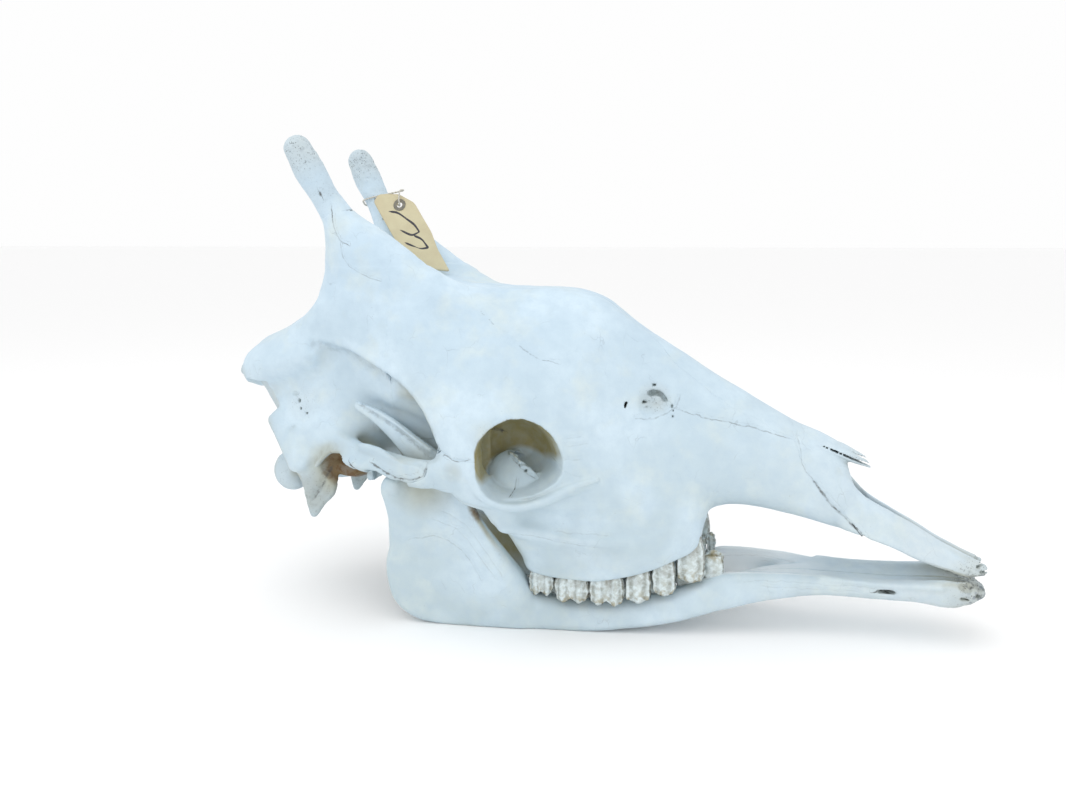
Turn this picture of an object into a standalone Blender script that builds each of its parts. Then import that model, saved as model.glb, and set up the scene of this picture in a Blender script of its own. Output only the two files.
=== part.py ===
"""Giraffe skull with its lower jaw in place: a still, life-size museum model.

The skull faces +X, its left side is +Y and +Z is up. The lower jaw rests on z = 0. Sizes are in
millimetres until a mesh is made. Each bone is a field of signed distances, negative inside, built from
lofted walls and swept bars over one half of the head, mirrored, and then given a surface. Thin cuts part
the upper skull into its bones along their sutures.
"""

import math

import bmesh
import bpy
import numpy as np

MM = 0.001
FAR = 40.0
GRID_STEP = 2.2
CUT = 0.3

SKULL_LOW = (-330.0, 0.0, 36.0)
SKULL_HIGH = (330.0, 124.0, 412.0)
JAW_LOW = (-196.0, 0.0, -8.0)
JAW_HIGH = (332.0, 104.0, 196.0)


def monotone_cubic(knots, values, at):
    """A cubic through the knots that never overshoots them, held level past its ends.
    values has one row for each knot, and the result one row for each place in at."""
    knots = np.asarray(knots, float)
    values = np.asarray(values, float).reshape(len(knots), -1)
    width = np.diff(knots)[:, None]
    rise = np.diff(values, axis=0) / width
    slope = np.zeros_like(values)
    turning = rise[:-1] * rise[1:] <= 0
    mean = (width[:-1] + width[1:]) * 3
    near = (2 * width[1:] + width[:-1]) / np.where(turning, 1, rise[:-1])
    far = (width[1:] + 2 * width[:-1]) / np.where(turning, 1, rise[1:])
    slope[1:-1] = np.where(turning, 0, mean / np.where(turning, 1, near + far))
    slope[0], slope[-1] = rise[0], rise[-1]
    at = np.clip(at, knots[0], knots[-1])
    i = np.clip(np.searchsorted(knots, at, side="right") - 1, 0, len(knots) - 2)
    step = width[i]
    t = (at - knots[i])[:, None] / step
    low, high = values[i], values[i + 1]
    return (
        low * (1 + 2 * t) * (1 - t) ** 2
        + slope[i] * step * t * (1 - t) ** 2
        + high * t**2 * (3 - 2 * t)
        + slope[i + 1] * step * t**2 * (t - 1)
    )


def smooth_min(a, b, blend):
    """The smaller of two distances, with a fillet where they are within blend of each other."""
    if not blend:
        return np.minimum(a, b)
    near = np.maximum(blend - np.abs(a - b), 0) / blend
    return np.minimum(a, b) - near * near * blend / 4


def smooth_max(a, b, blend):
    """The larger of two distances, with a rounded edge where they are within blend of each other."""
    return -smooth_min(-a, -b, blend)


class Wall:
    """A loft along X: at each station a bottom, a top and half-thicknesses from bottom to top, about a
    middle line that may lie off the middle plane."""

    def __init__(self, stations, middles=None, edge=10.0, rear=None):
        table = np.array(stations, float)
        self.x, self.bottom, self.top, self.half = table[:, 0], table[:, 1], table[:, 2], table[:, 3:]
        self.middles = middles
        self.edge = edge
        self.rear = rear
        reach = self.half.max() + (0 if middles is None else np.max(np.array(middles)[:, 1:]))
        self.low = np.array((self.x[0], 0, self.bottom.min()))
        self.high = np.array((self.x[-1], reach, self.top.max()))

    def distance(self, axes):
        x, side, z = axes
        bottom, top = (monotone_cubic(self.x, v, x)[:, :1] for v in (self.bottom, self.top))
        half = monotone_cubic(self.x, self.half, x)
        levels = half.shape[1] - 1
        share = np.clip((z[None, :] - bottom) / (top - bottom), 0, 1) * levels
        i = np.minimum(share.astype(int), levels - 1)
        t = share - i
        picked = [np.take_along_axis(half, np.clip(i + k, 0, levels), 1) for k in (-1, 0, 1, 2)]
        lean = (picked[2] - picked[0]) / 2, (picked[3] - picked[1]) / 2
        width = (
            picked[1] * (1 + 2 * t) * (1 - t) ** 2
            + lean[0] * t * (1 - t) ** 2
            + picked[2] * t**2 * (3 - 2 * t)
            + lean[1] * t**2 * (t - 1)
        )
        slope_x = np.gradient(width, x, axis=0)
        slope_z = np.gradient(width, z, axis=1)
        steep = np.sqrt(1 + slope_x**2 + slope_z**2)
        middle = np.zeros_like(width)
        if self.middles is not None:
            rows = np.array(self.middles, float)
            ends = monotone_cubic(rows[:, 0], rows[:, 1:], x)
            level = np.clip((z[None, :] - bottom) / (top - bottom), 0, 1)
            middle = ends[:, :1] * (1 - level) + ends[:, 1:2] * level
        above = (z[None, :] - top) / np.sqrt(1 + np.gradient(top[:, 0], x)[:, None] ** 2)
        below = (bottom - z[None, :]) / np.sqrt(1 + np.gradient(bottom[:, 0], x)[:, None] ** 2)
        cap = smooth_max(above, below, self.edge)
        ends = np.maximum(self.x[0] - x, x - self.x[-1])[:, None]
        if self.rear is not None:
            edge = np.array(self.rear, float)
            line = monotone_cubic(edge[:, 0], edge[:, 1], z)[:, 0]
            slope = np.gradient(line, z)[None, :]
            ends = np.maximum(ends, (line[None, :] - x[:, None]) / np.sqrt(1 + slope**2))
        cap = smooth_max(cap, ends + 0 * cap, self.edge)
        flank = (np.abs(side[None, :, None] - middle[:, None, :]) - width[:, None, :]) / steep[:, None, :]
        return smooth_max(flank.astype(np.float32), cap[:, None, :].astype(np.float32), self.edge)


class Bar:
    """A bar of oval section along a smooth path. Each station is x, side, z, the half-thickness along
    the across axis and the half-thickness at right angles to it."""

    def __init__(self, stations, across=(0, 1, 0), pieces=10):
        table = np.array(stations, float)
        lengths = np.linalg.norm(np.diff(table[:, :3], axis=0), axis=1)
        along = np.concatenate([[0], np.cumsum(np.maximum(lengths, 1e-6))])
        count = pieces + 1 if len(table) > 2 else 2
        self.stations = monotone_cubic(along, table, np.linspace(0, along[-1], count))
        self.across = np.array(across, float)
        reach = self.stations[:, 3:].max(1)[:, None]
        self.low = (self.stations[:, :3] - reach).min(0)
        self.high = (self.stations[:, :3] + reach).max(0)

    def distance(self, axes):
        found = np.full([len(axis) for axis in axes], FAR, np.float32)
        for start, end in zip(self.stations[:-1], self.stations[1:]):
            self.add_piece(found, axes, start, end)
        return found

    def add_piece(self, found, axes, start, end):
        reach = max(start[3:].max(), end[3:].max()) + FAR / 2
        low, high = np.minimum(start, end)[:3] - reach, np.maximum(start, end)[:3] + reach
        part = tuple(slice(*np.searchsorted(axis, (low[k], high[k]))) for k, axis in enumerate(axes))
        x, side, z = (axis[part[k]].astype(np.float32) - start[k] for k, axis in enumerate(axes))
        x, side, z = x[:, None, None], side[None, :, None], z[None, None, :]
        length = max(np.linalg.norm(end[:3] - start[:3]), 1e-6)
        ahead = (end[:3] - start[:3]) / length
        across = self.across - (self.across @ ahead) * ahead
        across /= np.linalg.norm(across)
        over = np.cross(ahead, across)
        along = x * ahead[0] + side * ahead[1] + z * ahead[2]
        t = np.clip(along / length, 0, 1)
        wide = start[3] + (end[3] - start[3]) * t
        tall = start[4] + (end[4] - start[4]) * t
        tip = np.minimum(wide, tall)
        a = (x * across[0] + side * across[1] + z * across[2]) / wide
        b = (x * over[0] + side * over[1] + z * over[2]) / tall
        c = (along - t * length) / tip
        near = np.sqrt(a * a + b * b + c * c) + 1e-6
        slope = np.sqrt((a / wide) ** 2 + (b / tall) ** 2 + (c / tip) ** 2) + 1e-6
        found[part] = np.minimum(found[part], near * (near - 1) / slope)


class Ball:
    """An ellipsoid with its axes along x, the side and z."""

    def __init__(self, centre, radii):
        self.centre, self.radii = np.array(centre, float), np.array(radii, float)
        self.low, self.high = self.centre - self.radii, self.centre + self.radii

    def distance(self, axes):
        x, side, z = ((axis - c) / r for axis, c, r in zip(axes, self.centre, self.radii))
        x, side, z = x[:, None, None], side[None, :, None], z[None, None, :]
        near = np.sqrt(x**2 + side**2 + z**2) + 1e-6
        slope = np.sqrt(
            (x / self.radii[0]) ** 2 + (side / self.radii[1]) ** 2 + (z / self.radii[2]) ** 2
        ) + 1e-6
        return (near * (near - 1) / slope).astype(np.float32)


class Field:
    """Distances on a grid over the +Y half of the head."""

    def __init__(self, low, high, step):
        self.axes = [np.arange(a, b + step, step) for a, b in zip(low, high)]
        self.step = step
        self.distance = np.full([len(axis) for axis in self.axes], FAR, np.float32)

    def around(self, shape, blend):
        margin = blend + 3 * self.step
        part = tuple(
            slice(*np.searchsorted(axis, (shape.low[k] - margin, shape.high[k] + margin)))
            for k, axis in enumerate(self.axes)
        )
        return part, shape.distance([axis[part[k]] for k, axis in enumerate(self.axes)])

    def join(self, shape, blend=6.0):
        part, near = self.around(shape, blend)
        self.distance[part] = smooth_min(self.distance[part], near, blend)

    def cut(self, shape, blend=3.0):
        part, near = self.around(shape, blend)
        self.distance[part] = smooth_max(self.distance[part], -near, blend)

    def soften(self, passes):
        """Averages along X, so that a loft's stations leave no ripples."""
        for _ in range(passes):
            inner = self.distance[1:-1]
            inner += (self.distance[:-2] + self.distance[2:] - 2 * inner) / 4

    def clip_below(self, level):
        self.distance = np.maximum(self.distance, (level - self.axes[2])[None, None, :].astype(np.float32))

    def surface(self):
        """Corners and four-sided faces of the surface on both sides: one corner for each grid cell
        that the surface crosses, at the mean of where it crosses the cell's edges."""
        half = self.distance
        values = np.concatenate([half[:, :0:-1], half], axis=1)
        fill_corner_contacts(values, self.step)
        inside = values < 0
        low = np.array([self.axes[0][0], -self.axes[1][-1], self.axes[2][0]])
        cells = [slice(None, -1), slice(1, None)]
        count = sum(
            inside[cells[i], cells[j], cells[k]].astype(np.int8)
            for i in (0, 1) for j in (0, 1) for k in (0, 1)
        )
        crossed = np.nonzero((count > 0) & (count < 8))
        index = np.full(count.shape, -1, np.int32)
        index[crossed] = np.arange(len(crossed[0]))
        base = np.stack(crossed, 1)
        total = np.zeros((len(base), 3))
        hits = np.zeros(len(base))
        for axis in range(3):
            ahead = np.eye(3, dtype=int)[axis]
            for offset in [(i, j) for i in (0, 1) for j in (0, 1)]:
                corner = np.insert(np.array(offset), axis, 0)
                at = base + corner
                a = values[tuple(at.T)]
                b = values[tuple((at + ahead).T)]
                hit = (a < 0) != (b < 0)
                share = np.where(hit, a / np.where(hit, a - b, 1), 0)
                total += np.where(hit[:, None], corner + ahead * share[:, None], 0)
                hits += hit
        corners = low + (base + total / hits[:, None]) * self.step
        faces = []
        for axis in range(3):
            u, v = (axis + 1) % 3, (axis + 2) % 3
            lower = [slice(None)] * 3
            upper = [slice(None)] * 3
            lower[axis], upper[axis] = slice(None, -1), slice(1, None)
            change = inside[tuple(lower)] != inside[tuple(upper)]
            at = np.stack(np.nonzero(change), 1)
            keep = (at[:, u] > 0) & (at[:, v] > 0)
            keep &= (at[:, u] < values.shape[u] - 1) & (at[:, v] < values.shape[v] - 1)
            at = at[keep]
            du, dv = np.eye(3, dtype=int)[u], np.eye(3, dtype=int)[v]
            ring = [index[tuple((at - s).T)] for s in (du + dv, dv, 0 * du, du)]
            face = np.stack(ring, 1)
            outward = inside[tuple(at.T)]
            faces.append(np.where(outward[:, None], face, face[:, ::-1]))
        return corners, np.concatenate(faces)


def fill_corner_contacts(values, step):
    """Fills a cell corner where two parts of the solid meet only along an edge, so that no edge of the
    surface has four faces."""
    touch = np.float32(-0.05 * step)
    for _ in range(8):
        found = 0
        for u, v in ((0, 1), (1, 2), (0, 2)):
            views = []
            for du, dv in ((0, 0), (1, 1), (1, 0), (0, 1)):
                part = [slice(None)] * 3
                part[u] = slice(du, values.shape[u] - 1 + du)
                part[v] = slice(dv, values.shape[v] - 1 + dv)
                views.append(values[tuple(part)])
            same = [view < 0 for view in views]
            one = same[0] & same[1] & ~same[2] & ~same[3]
            other = ~same[0] & ~same[1] & same[2] & same[3]
            found += one.sum() + other.sum()
            views[2][one] = touch
            views[0][other] = touch
        if not found:
            return


# Upper skull: x, bottom, top, then half-widths at six levels from bottom to top.
HEAD = [
    (-324.3, 190, 207, 6, 12, 15, 15, 12, 8),
    (-312, 184, 217, 13, 19, 21, 20, 17, 11),
    (-295, 184, 229, 32, 37, 38, 36, 31, 22),
    (-270, 194, 240, 45, 49, 49, 46, 40, 28),
    (-240, 211, 256, 48, 53, 55, 55, 52, 42),
    (-210, 221, 278, 57, 62, 65, 67, 66, 58),
    (-180, 216, 288, 66, 70, 72, 72, 69, 60),
    (-150, 203, 289, 79, 80, 79, 76, 70, 56),
    (-122, 184, 284, 92, 91, 87, 80, 70, 50),
    (-104, 156, 280, 106, 102, 94, 83, 68, 46),
    (-88, 116, 279, 107, 109, 104, 92, 72, 44),
    (-66, 102, 277, 98, 112, 111, 99, 75, 40),
    (-52, 74, 277, 74, 102, 110, 99, 74, 37),
    (-42, 53, 277, 62, 90, 106, 98, 73, 35),
    (-15, 46, 276, 66, 83, 96, 88, 65, 32),
    (10, 46, 270, 67, 76, 82, 75, 56, 28),
    (43, 51, 247, 63, 68, 68, 59, 43, 23),
    (66, 58, 233, 58, 63, 61, 51, 36, 18),
    (86, 68, 221, 53, 57, 54, 46, 32, 16),
    (98, 80, 213, 47, 52, 49, 42, 30, 15),
    (105, 100, 209, 41, 46, 44, 39, 28, 15),
    (126, 105, 197, 35, 38, 38, 34, 26, 15),
    (169, 98.5, 172, 30, 33, 33, 30, 25, 16),
    (212, 87.5, 150, 27, 29, 29, 26, 21, 15),
    (221, 85.5, 127, 26, 28, 28, 26, 22, 17),
    (231, 82.5, 110, 25, 27, 27, 25, 22, 17),
]
BRAINCASE = [
    (-294, 130, 204, 14, 16, 18, 22, 26, 22),
    (-280, 122, 214, 26, 31, 34, 34, 31, 24),
    (-262, 116, 226, 36, 46, 50, 47, 42, 34),
    (-240, 118, 238, 46, 60, 58, 52, 47, 40),
    (-212, 124, 248, 46, 58, 55, 52, 51, 44),
    (-180, 126, 255, 34, 49, 55, 58, 61, 54),
    (-140, 122, 250, 25, 37, 49, 59, 66, 58),
    (-105, 112, 240, 22, 31, 43, 56, 68, 60),
    (-75, 100, 230, 22, 28, 36, 48, 60, 54),
]
# Where the braincase ends at the rear, as z and x.
BRAINCASE_REAR = [
    (118, -268), (128, -271), (140, -273), (153, -276), (168, -282), (178, -289), (190, -295), (210, -301),
]
# A station of a bar is x, side, z, the half-thickness across the middle plane and the other one.
OSSICONE = [
    (-227, 62, 388, 10.6, 11),
    (-218.5, 60, 371, 12, 12.4),
    (-208, 57, 351.5, 10.8, 11.2),
    (-198.5, 54, 335, 12.5, 12.8),
    (-190, 51, 318, 17, 20.5),
    (-181.5, 48, 300, 23, 31.5),
    (-174, 45, 281, 26, 41),
]
FRONTAL_RIDGE = [
    (-174, 50, 304, 12, 14),
    (-148, 51, 293.5, 13, 13),
    (-118, 52, 277, 14, 13),
    (-86, 50, 257, 12, 12),
    (-56, 50, 238, 8, 8),
]
ARCH_MIDDLE = [
    (-226, 54, 51),
    (-208, 58, 54),
    (-188, 66, 62),
    (-168, 75, 71),
    (-145, 87, 82),
    (-122, 96, 92),
    (-104, 101, 98),
]
ARCH_ROOT = [
    (-226, 138, 164, 2, 3, 2),
    (-208, 135, 158, 4, 6, 5),
    (-188, 132, 153, 5.5, 7.5, 6),
    (-168, 131, 148, 5, 6.5, 5),
    (-145, 126, 147, 4.5, 6, 5),
    (-122, 126, 146, 4, 5.5, 4.5),
    (-104, 132, 147, 3, 4, 3),
]
JUGAL = [
    (-128, 92, 126, 3, 4),
    (-112, 98, 130, 4, 7),
    (-93, 103, 138, 5, 10),
    (-74, 105, 130, 5, 12),
    (-56, 101, 122, 6, 10),
]
GLENOID = [(-196, 52, 136, 20, 7), (-160, 72, 135, 20, 6)]
ORBIT_CUT = [
    (-25, 135, 149, 38, 38),
    (-34, 102, 150, 33, 32),
    (-41, 76, 151, 32, 31),
    (-48, 54, 152, 26, 24),
]
ORBIT_WINDOW = [(-58, 70, 152, 12, 22), (-100, 72, 156, 14, 26), (-140, 76, 160, 16, 30)]
JAW_WINDOW = [(-132, 77, 138, 13, 18), (-102, 76, 130, 13, 17), (-86, 72, 118, 13, 14)]
RIM = [
    (-71, 108, 152, 3, 3),
    (-70, 110, 138, 3.2, 3.2),
    (-61, 111, 123, 3.2, 3.2),
    (-38, 108, 115, 3.2, 3.2),
    (-16, 100, 119, 3.2, 3.2),
    (2, 88, 126, 3.2, 3.2),
    (16, 76, 131, 2.5, 2.5),
]
FACIAL_CREST = [(-56, 85, 102, 4, 6), (-24, 77, 87, 3, 4), (14, 70, 79, 3, 3), (48, 62, 78, 3, 3)]
CONDYLE = ((-263, 26, 112), (17, 13, 18))
BASIOCCIPITAL = [
    (-278, 0, 112, 22, 9),
    (-240, 0, 110, 20, 9),
    (-180, 0, 117, 15, 8),
    (-120, 0, 118, 14, 10),
]
BULLA = ((-198, 39, 121), (20, 12, 13))
PAROCCIPITAL_MIDDLE = [(-247, 46, 52), (-208, 46, 52)]
PAROCCIPITAL = [
    (-248, 116, 134, 3, 5, 6),
    (-243, 103, 134, 3, 5, 6),
    (-239.5, 88, 134, 2.5, 4.5, 6),
    (-236.5, 77, 134, 2.5, 4.5, 6),
    (-233, 76, 134, 2.5, 4.5, 6),
    (-229, 80, 134, 2.5, 4.5, 5.5),
    (-222, 89, 134, 2.5, 4, 5),
    (-214, 97, 132, 3, 3.5, 4),
    (-209.5, 108, 130, 2, 3, 3),
]
MASTOID = [(-262, 50, 164, 7, 9), (-248, 56, 144, 8, 10), (-240, 57, 128, 8, 11)]
EAR_HOLLOW = ((-199, 63, 124), (26, 20, 17))
PTERYGOID = [(-30, 27, 84, 5, 18), (-66, 25, 92, 4, 18), (-104, 22, 108, 4, 12), (-128, 20, 116, 5, 8)]
NECK_HOLE = [(-310, 0, 126, 17, 17), (-262, 0, 134, 17, 17)]
NOSE = [
    (84, 132, 176, 6, 12, 13, 8),
    (126, 117, 184, 18, 24, 23, 12),
    (169, 110, 163, 20, 24, 22, 13),
    (206, 98, 147, 20, 22, 20, 12),
    (216, 95, 145, 19, 18, 15, 12),
    (224, 93, 147, 18, 12, 9, 8),
    (232, 91, 148, 16, 6, 4, 4),
    (242, 90, 150, 12, 4, 3, 3),
]
PALATE = [
    (-90, 20, 74, 40, 34, 26),
    (-34, 20, 66, 42, 38, 26),
    (40, 20, 66, 42, 38, 24),
    (80, 30, 86, 38, 32, 20),
    (108, 60, 112, 32, 27, 16),
    (140, 70, 108, 25, 18, 12),
]
CHOANA = [(-20, 0, 86, 17, 16), (-70, 0, 92, 17, 20), (-112, 0, 96, 15, 18)]
NASAL_TIP = [
    (186, 11, 156.5, 9, 4),
    (206, 11, 149.5, 9, 4),
    (219, 10.5, 144, 7, 3.2),
    (229, 9, 139.8, 3.5, 2),
]
PREMAXILLA = [
    (206, 92, 138, 4, 4.5, 3.5),
    (229, 84, 114, 5.5, 5, 3.5),
    (250, 76.5, 102, 6.5, 5, 3.5),
    (266, 68.5, 93, 6.5, 5.5, 4),
    (288, 61, 80, 7, 6, 4.5),
    (308, 55.5, 70, 7, 6, 4.5),
    (322.5, 57.5, 64, 5, 5, 4),
]
PREMAXILLA_MIDDLE = [
    (206, 25, 25),
    (216, 25, 22),
    (224, 24.5, 16.5),
    (232, 24, 11),
    (250, 22, 8),
    (266, 19, 7),
    (288, 16, 7),
    (308, 14, 7.5),
    (322.5, 13, 8),
]
PALATINE_PROCESS = [(176, 6, 105, 5, 4), (230, 6, 89, 4, 4), (262, 7, 74, 4, 4), (292, 11, 64, 5, 4)]
VACUITY = ((61, 38, 193), (10, 9, 7.5))

ALVEOLAR = [
    (-43, 54, 80, 4, 6, 6),
    (-34, 49, 80, 9, 11, 11),
    (-9, 46, 76, 9.5, 12, 12),
    (15, 45.5, 74, 9.5, 12, 12),
    (41, 50, 78, 9, 11, 11),
    (63, 56, 84, 8.5, 10, 10),
    (82, 65, 92, 8, 9, 9),
    (94, 71, 100, 6.5, 8, 8),
    (99, 76, 104, 5.5, 7, 7),
    (103, 91, 107, 3, 4, 4),
]
ALVEOLAR_MIDDLE = [(-43, 55, 56), (15, 57, 57), (41, 55, 55), (63, 51, 52), (82, 47, 48), (103, 42, 42)]

# Lower jaw: the same tables, with the middle line's place at the bottom and at the top beside them.
JAW = [
    (-156, 33, 121, 3, 5, 5, 5, 4),
    (-150, 20, 125, 5, 6, 5, 5, 5),
    (-140, 8.5, 127, 6, 7, 5, 5, 5),
    (-123, 1, 134, 7, 7, 5, 4.5, 4.5),
    (-102, -1.2, 139, 7, 7, 5.5, 4.5, 4),
    (-92, -1.5, 126, 7, 7.5, 6, 5, 4),
    (-80, -1.5, 107, 7.5, 8, 7, 6, 4.5),
    (-67, -1.5, 85, 8, 9, 8.5, 7.5, 5.5),
    (-45, -1.5, 50, 9, 11, 12, 11, 9),
    (-30, -1.2, 27, 9, 12, 13, 13, 11),
    (10, 0, 23, 9, 12, 13, 13, 11),
    (55, 4.7, 28, 8, 11, 12, 12, 10),
    (83, 10.5, 36, 7.5, 10, 11, 11, 9),
    (106, 17.5, 46, 7, 9, 10, 9.5, 8),
    (118, 21, 50, 6.5, 8.5, 9, 8, 6),
    (163, 30.5, 51.5, 6, 7.5, 8, 7, 4.5),
    (194, 34, 49.5, 6, 7.5, 8, 7, 4.5),
    (239, 35, 48, 6, 7, 7, 6, 4),
    (290, 36, 50, 4, 5, 5, 5, 4),
]
JAW_REAR = [(30, -156), (52, -155), (68, -151.5), (88, -151.5), (107, -154.5), (120, -158.5)]
JAW_MIDDLE = [
    (-156, 74, 80),
    (-123, 68, 78),
    (-80, 64, 76),
    (-45, 60, 62),
    (-30, 57, 48),
    (10, 54, 41),
    (55, 49, 38),
    (106, 42, 35),
    (163, 29, 28),
    (194, 23, 23),
    (239, 19, 20),
    (290, 19, 20),
]
SYMPHYSIS = [
    (128, 31, 40, 2, 4, 3),
    (160, 32, 45, 10, 18, 14),
    (190, 33.5, 48, 18, 22, 18),
    (216, 35, 48, 22, 24, 20),
    (239, 35, 48.5, 25, 27, 24),
    (264, 35, 50, 25, 27, 25),
    (292, 31, 53, 25, 28, 27),
    (305, 34, 53, 25, 29, 28),
    (314, 37, 49, 21, 26, 25),
    (320, 39, 46, 15, 20, 19),
    (323.5, 41, 44.5, 9, 13, 12),
]
TROUGH = [
    (168, 0, 53, 10, 4), (210, 0, 53, 15, 5), (260, 0, 55, 18, 7), (290, 0, 58, 20, 9),
    (335, 0, 58, 22, 10),
]
CORONOID_MIDDLE = [(-184, 66, 66), (-150, 71, 71), (-118, 77, 77), (-104, 78, 78)]
CORONOID = [
    (-184, 179, 184, 1.6, 2, 1.6),
    (-171, 172, 178.5, 2, 2.4, 2),
    (-150, 155, 169, 2.4, 2.8, 2.2),
    (-135, 140, 162, 3, 3, 2.4),
    (-118, 128, 154, 3.5, 3.5, 2.6),
    (-104, 118, 147, 3.5, 3.5, 2.6),
]
JAW_CONDYLE = [(-144, 66, 119, 4, 5), (-144, 80, 119, 6.5, 6.5), (-143, 92, 118, 4, 5)]


# Cheek teeth from back to front: x of the back and of the front, side, gum, tip, half-width, lobes.
UPPER_TEETH = [
    (-36.5, -16.3, 56, 48.5, 31, 8.5, 2),
    (-15.0, 12.6, 57.5, 45.5, 27.5, 9.5, 2),
    (14.0, 41.4, 57, 46.5, 27.5, 9.5, 2),
    (42.6, 62.2, 54, 51.5, 30.5, 8.5, 1),
    (63.4, 81.2, 50, 58.5, 36.5, 8, 1),
    (82.4, 104.0, 44.5, 72, 47, 6.5, 1),
]
LOWER_TEETH = [
    (-37.0, -1.0, 40.5, 23, 41, 6, 3),
    (0.0, 28.0, 38.5, 22.5, 42, 6.5, 2),
    (29.0, 55.5, 38, 25, 44.5, 6.5, 2),
    (56.5, 79.5, 35.5, 30, 50, 5.5, 1),
    (80.5, 102.0, 32.5, 38, 59, 5, 1),
    (103.0, 118.5, 34.5, 46, 66, 4.5, 1),
]
# The left lower row's foremost tooth is broken off short.
LEFT_STUMP = (103.0, 109.5, 33.5, 46, 61, 4.0, 1)
TOOTH_ROOT = 11.0
LOBE_RING = [
    (-0.49, 0.95),
    (-0.25, 0.78),
    (0.0, 0.98),
    (0.25, 0.78),
    (0.49, 0.95),
    (0.46, -0.5),
    (0.25, -1.0),
    (0.0, -0.72),
    (-0.25, -1.0),
    (-0.46, -0.5),
]
PREMOLAR_RING = [
    (-0.48, 0.7),
    (-0.22, 0.84),
    (0.0, 1.0),
    (0.22, 0.82),
    (0.48, 0.72),
    (0.46, -0.4),
    (0.2, -0.96),
    (-0.2, -0.96),
    (-0.46, -0.4),
]
CUSP = 3.0


# Seams between the bones, in x and z, and the nasals' bed as x, half-width and floor.
HORN_CUT = 3
NASAL_BED = [
    (46, 3, 240),
    (58, 12, 229),
    (84, 20, 210),
    (126, 23, 180),
    (169, 22, 159),
    (206, 21, 140.5),
    (236, 16, 134),
]
PREMAXILLA_SEAM = [
    (160, 178),
    (170, 161),
    (175, 147),
    (183, 132),
    (195, 122),
    (205, 110),
    (216, 96),
    (227, 84),
    (232, 60),
    (345, 40),
    (345, 178),
]
MAXILLA_SEAM = [
    (52, 265),
    (34, 214),
    (20, 178),
    (12, 142),
    (4, 112),
    (-30, 99),
    (-82, 95),
    (-82, 15),
    (345, 15),
    (345, 265),
]
SKULL_TRIANGLES = 7200
JAW_TRIANGLES = 2300

# The tag: its hole's middle and its tip, and its outline as along and across from the hole.
TAG_HOLE = (-178.5, 34.5, 347.0)
TAG_TIP = (-124.0, 16.0, 289.5)
TAG_ACROSS = (0.69, 0.28, 0.66)
TAG_THICKNESS = 1.2
TAG_HOLE_RADIUS = 2.6
TAG_OUTLINE = [
    (81, -2),
    (79, -4),
    (52, -28),
    (26, -23),
    (-6, -18.5),
    (-19, -16.5),
    (-21.5, -9),
    (-9, 5.5),
    (7, 11.5),
    (40, 7),
    (56, 2),
]
EYELET_RADIUS = 5.6
EYELET_THICKNESS = 0.5
EYELET_CLEARANCE = 0.02
CARD_SHARP = 30
BONE_COLOUR = (0.72, 0.78, 0.8)
CARD_COLOUR = (0.83, 0.77, 0.58)
RING_COLOUR = (0.35, 0.33, 0.3)
STRING_COLOUR = (0.8, 0.79, 0.74)
STRING_RADIUS = 0.8
STRING_REACH = 12.7
STRING_RISE = 3.0
# The string's way from the horn round the card's edge, over its face, through the hole and back.
STRING_THROUGH = [
    (-11, 8.8, -2.2),
    (-10.6, 8.4, 0.6),
    (-7, 5.5, 2.3),
    (-2.4, 1.8, 2.1),
    (0, 0, -0.6),
    (-3, -1, -3.6),
]


def skull_field(step):
    field = Field(SKULL_LOW, SKULL_HIGH, step)
    field.join(Wall(HEAD, edge=16.0), 0)
    field.soften(10)
    field.join(Bar(FRONTAL_RIDGE, pieces=16), 18)
    field.join(Bar(OSSICONE, pieces=26), 16)
    field.join(Wall(BRAINCASE, edge=14.0, rear=BRAINCASE_REAR), 5)
    field.join(Bar(BASIOCCIPITAL, pieces=6), 10)
    field.join(Bar(MASTOID), 10)
    field.join(Ball(*CONDYLE), 6)
    field.join(Wall(PAROCCIPITAL, PAROCCIPITAL_MIDDLE, edge=3.0), 6)
    field.join(Bar(FACIAL_CREST), 12)
    field.join(Wall(ALVEOLAR, ALVEOLAR_MIDDLE, edge=4.0), 8)
    field.cut(Bar(ORBIT_WINDOW), 8)
    field.cut(Bar(JAW_WINDOW), 6)
    field.join(Wall(PREMAXILLA, PREMAXILLA_MIDDLE, edge=7.0), 4)
    field.join(Wall(ARCH_ROOT, ARCH_MIDDLE, edge=6.0), 12)
    field.join(Bar(GLENOID), 8)
    field.cut(Ball(*EAR_HOLLOW), 2)
    field.join(Ball(*BULLA), 4)
    field.join(Bar(RIM, pieces=30), 7)
    field.join(Bar(JUGAL, pieces=20), 5)
    field.cut(Bar(ORBIT_CUT, across=(1, 0, 0)), 2)
    field.cut(Wall(PALATE, edge=12.0), 6)
    field.join(Bar(PTERYGOID), 5)
    field.cut(Bar(CHOANA), 4)
    field.cut(Wall(NOSE, edge=10.0), 3)
    field.join(Bar(NASAL_TIP), 2)
    field.join(Bar(PALATINE_PROCESS), 3)
    field.cut(Bar(NECK_HOLE), 4)
    field.cut(Ball(*VACUITY), 2)
    return field


def jaw_field(step):
    field = Field(JAW_LOW, JAW_HIGH, step)
    field.join(Wall(JAW, JAW_MIDDLE, edge=6.0, rear=JAW_REAR), 0)
    field.join(Wall(SYMPHYSIS, edge=6.0), 6)
    field.cut(Bar(TROUGH), 5)
    field.join(Wall(CORONOID, CORONOID_MIDDLE, edge=2.5), 6)
    field.join(Bar(JAW_CONDYLE, across=(1, 0, 0)), 5)
    field.clip_below(0)
    return field


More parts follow.
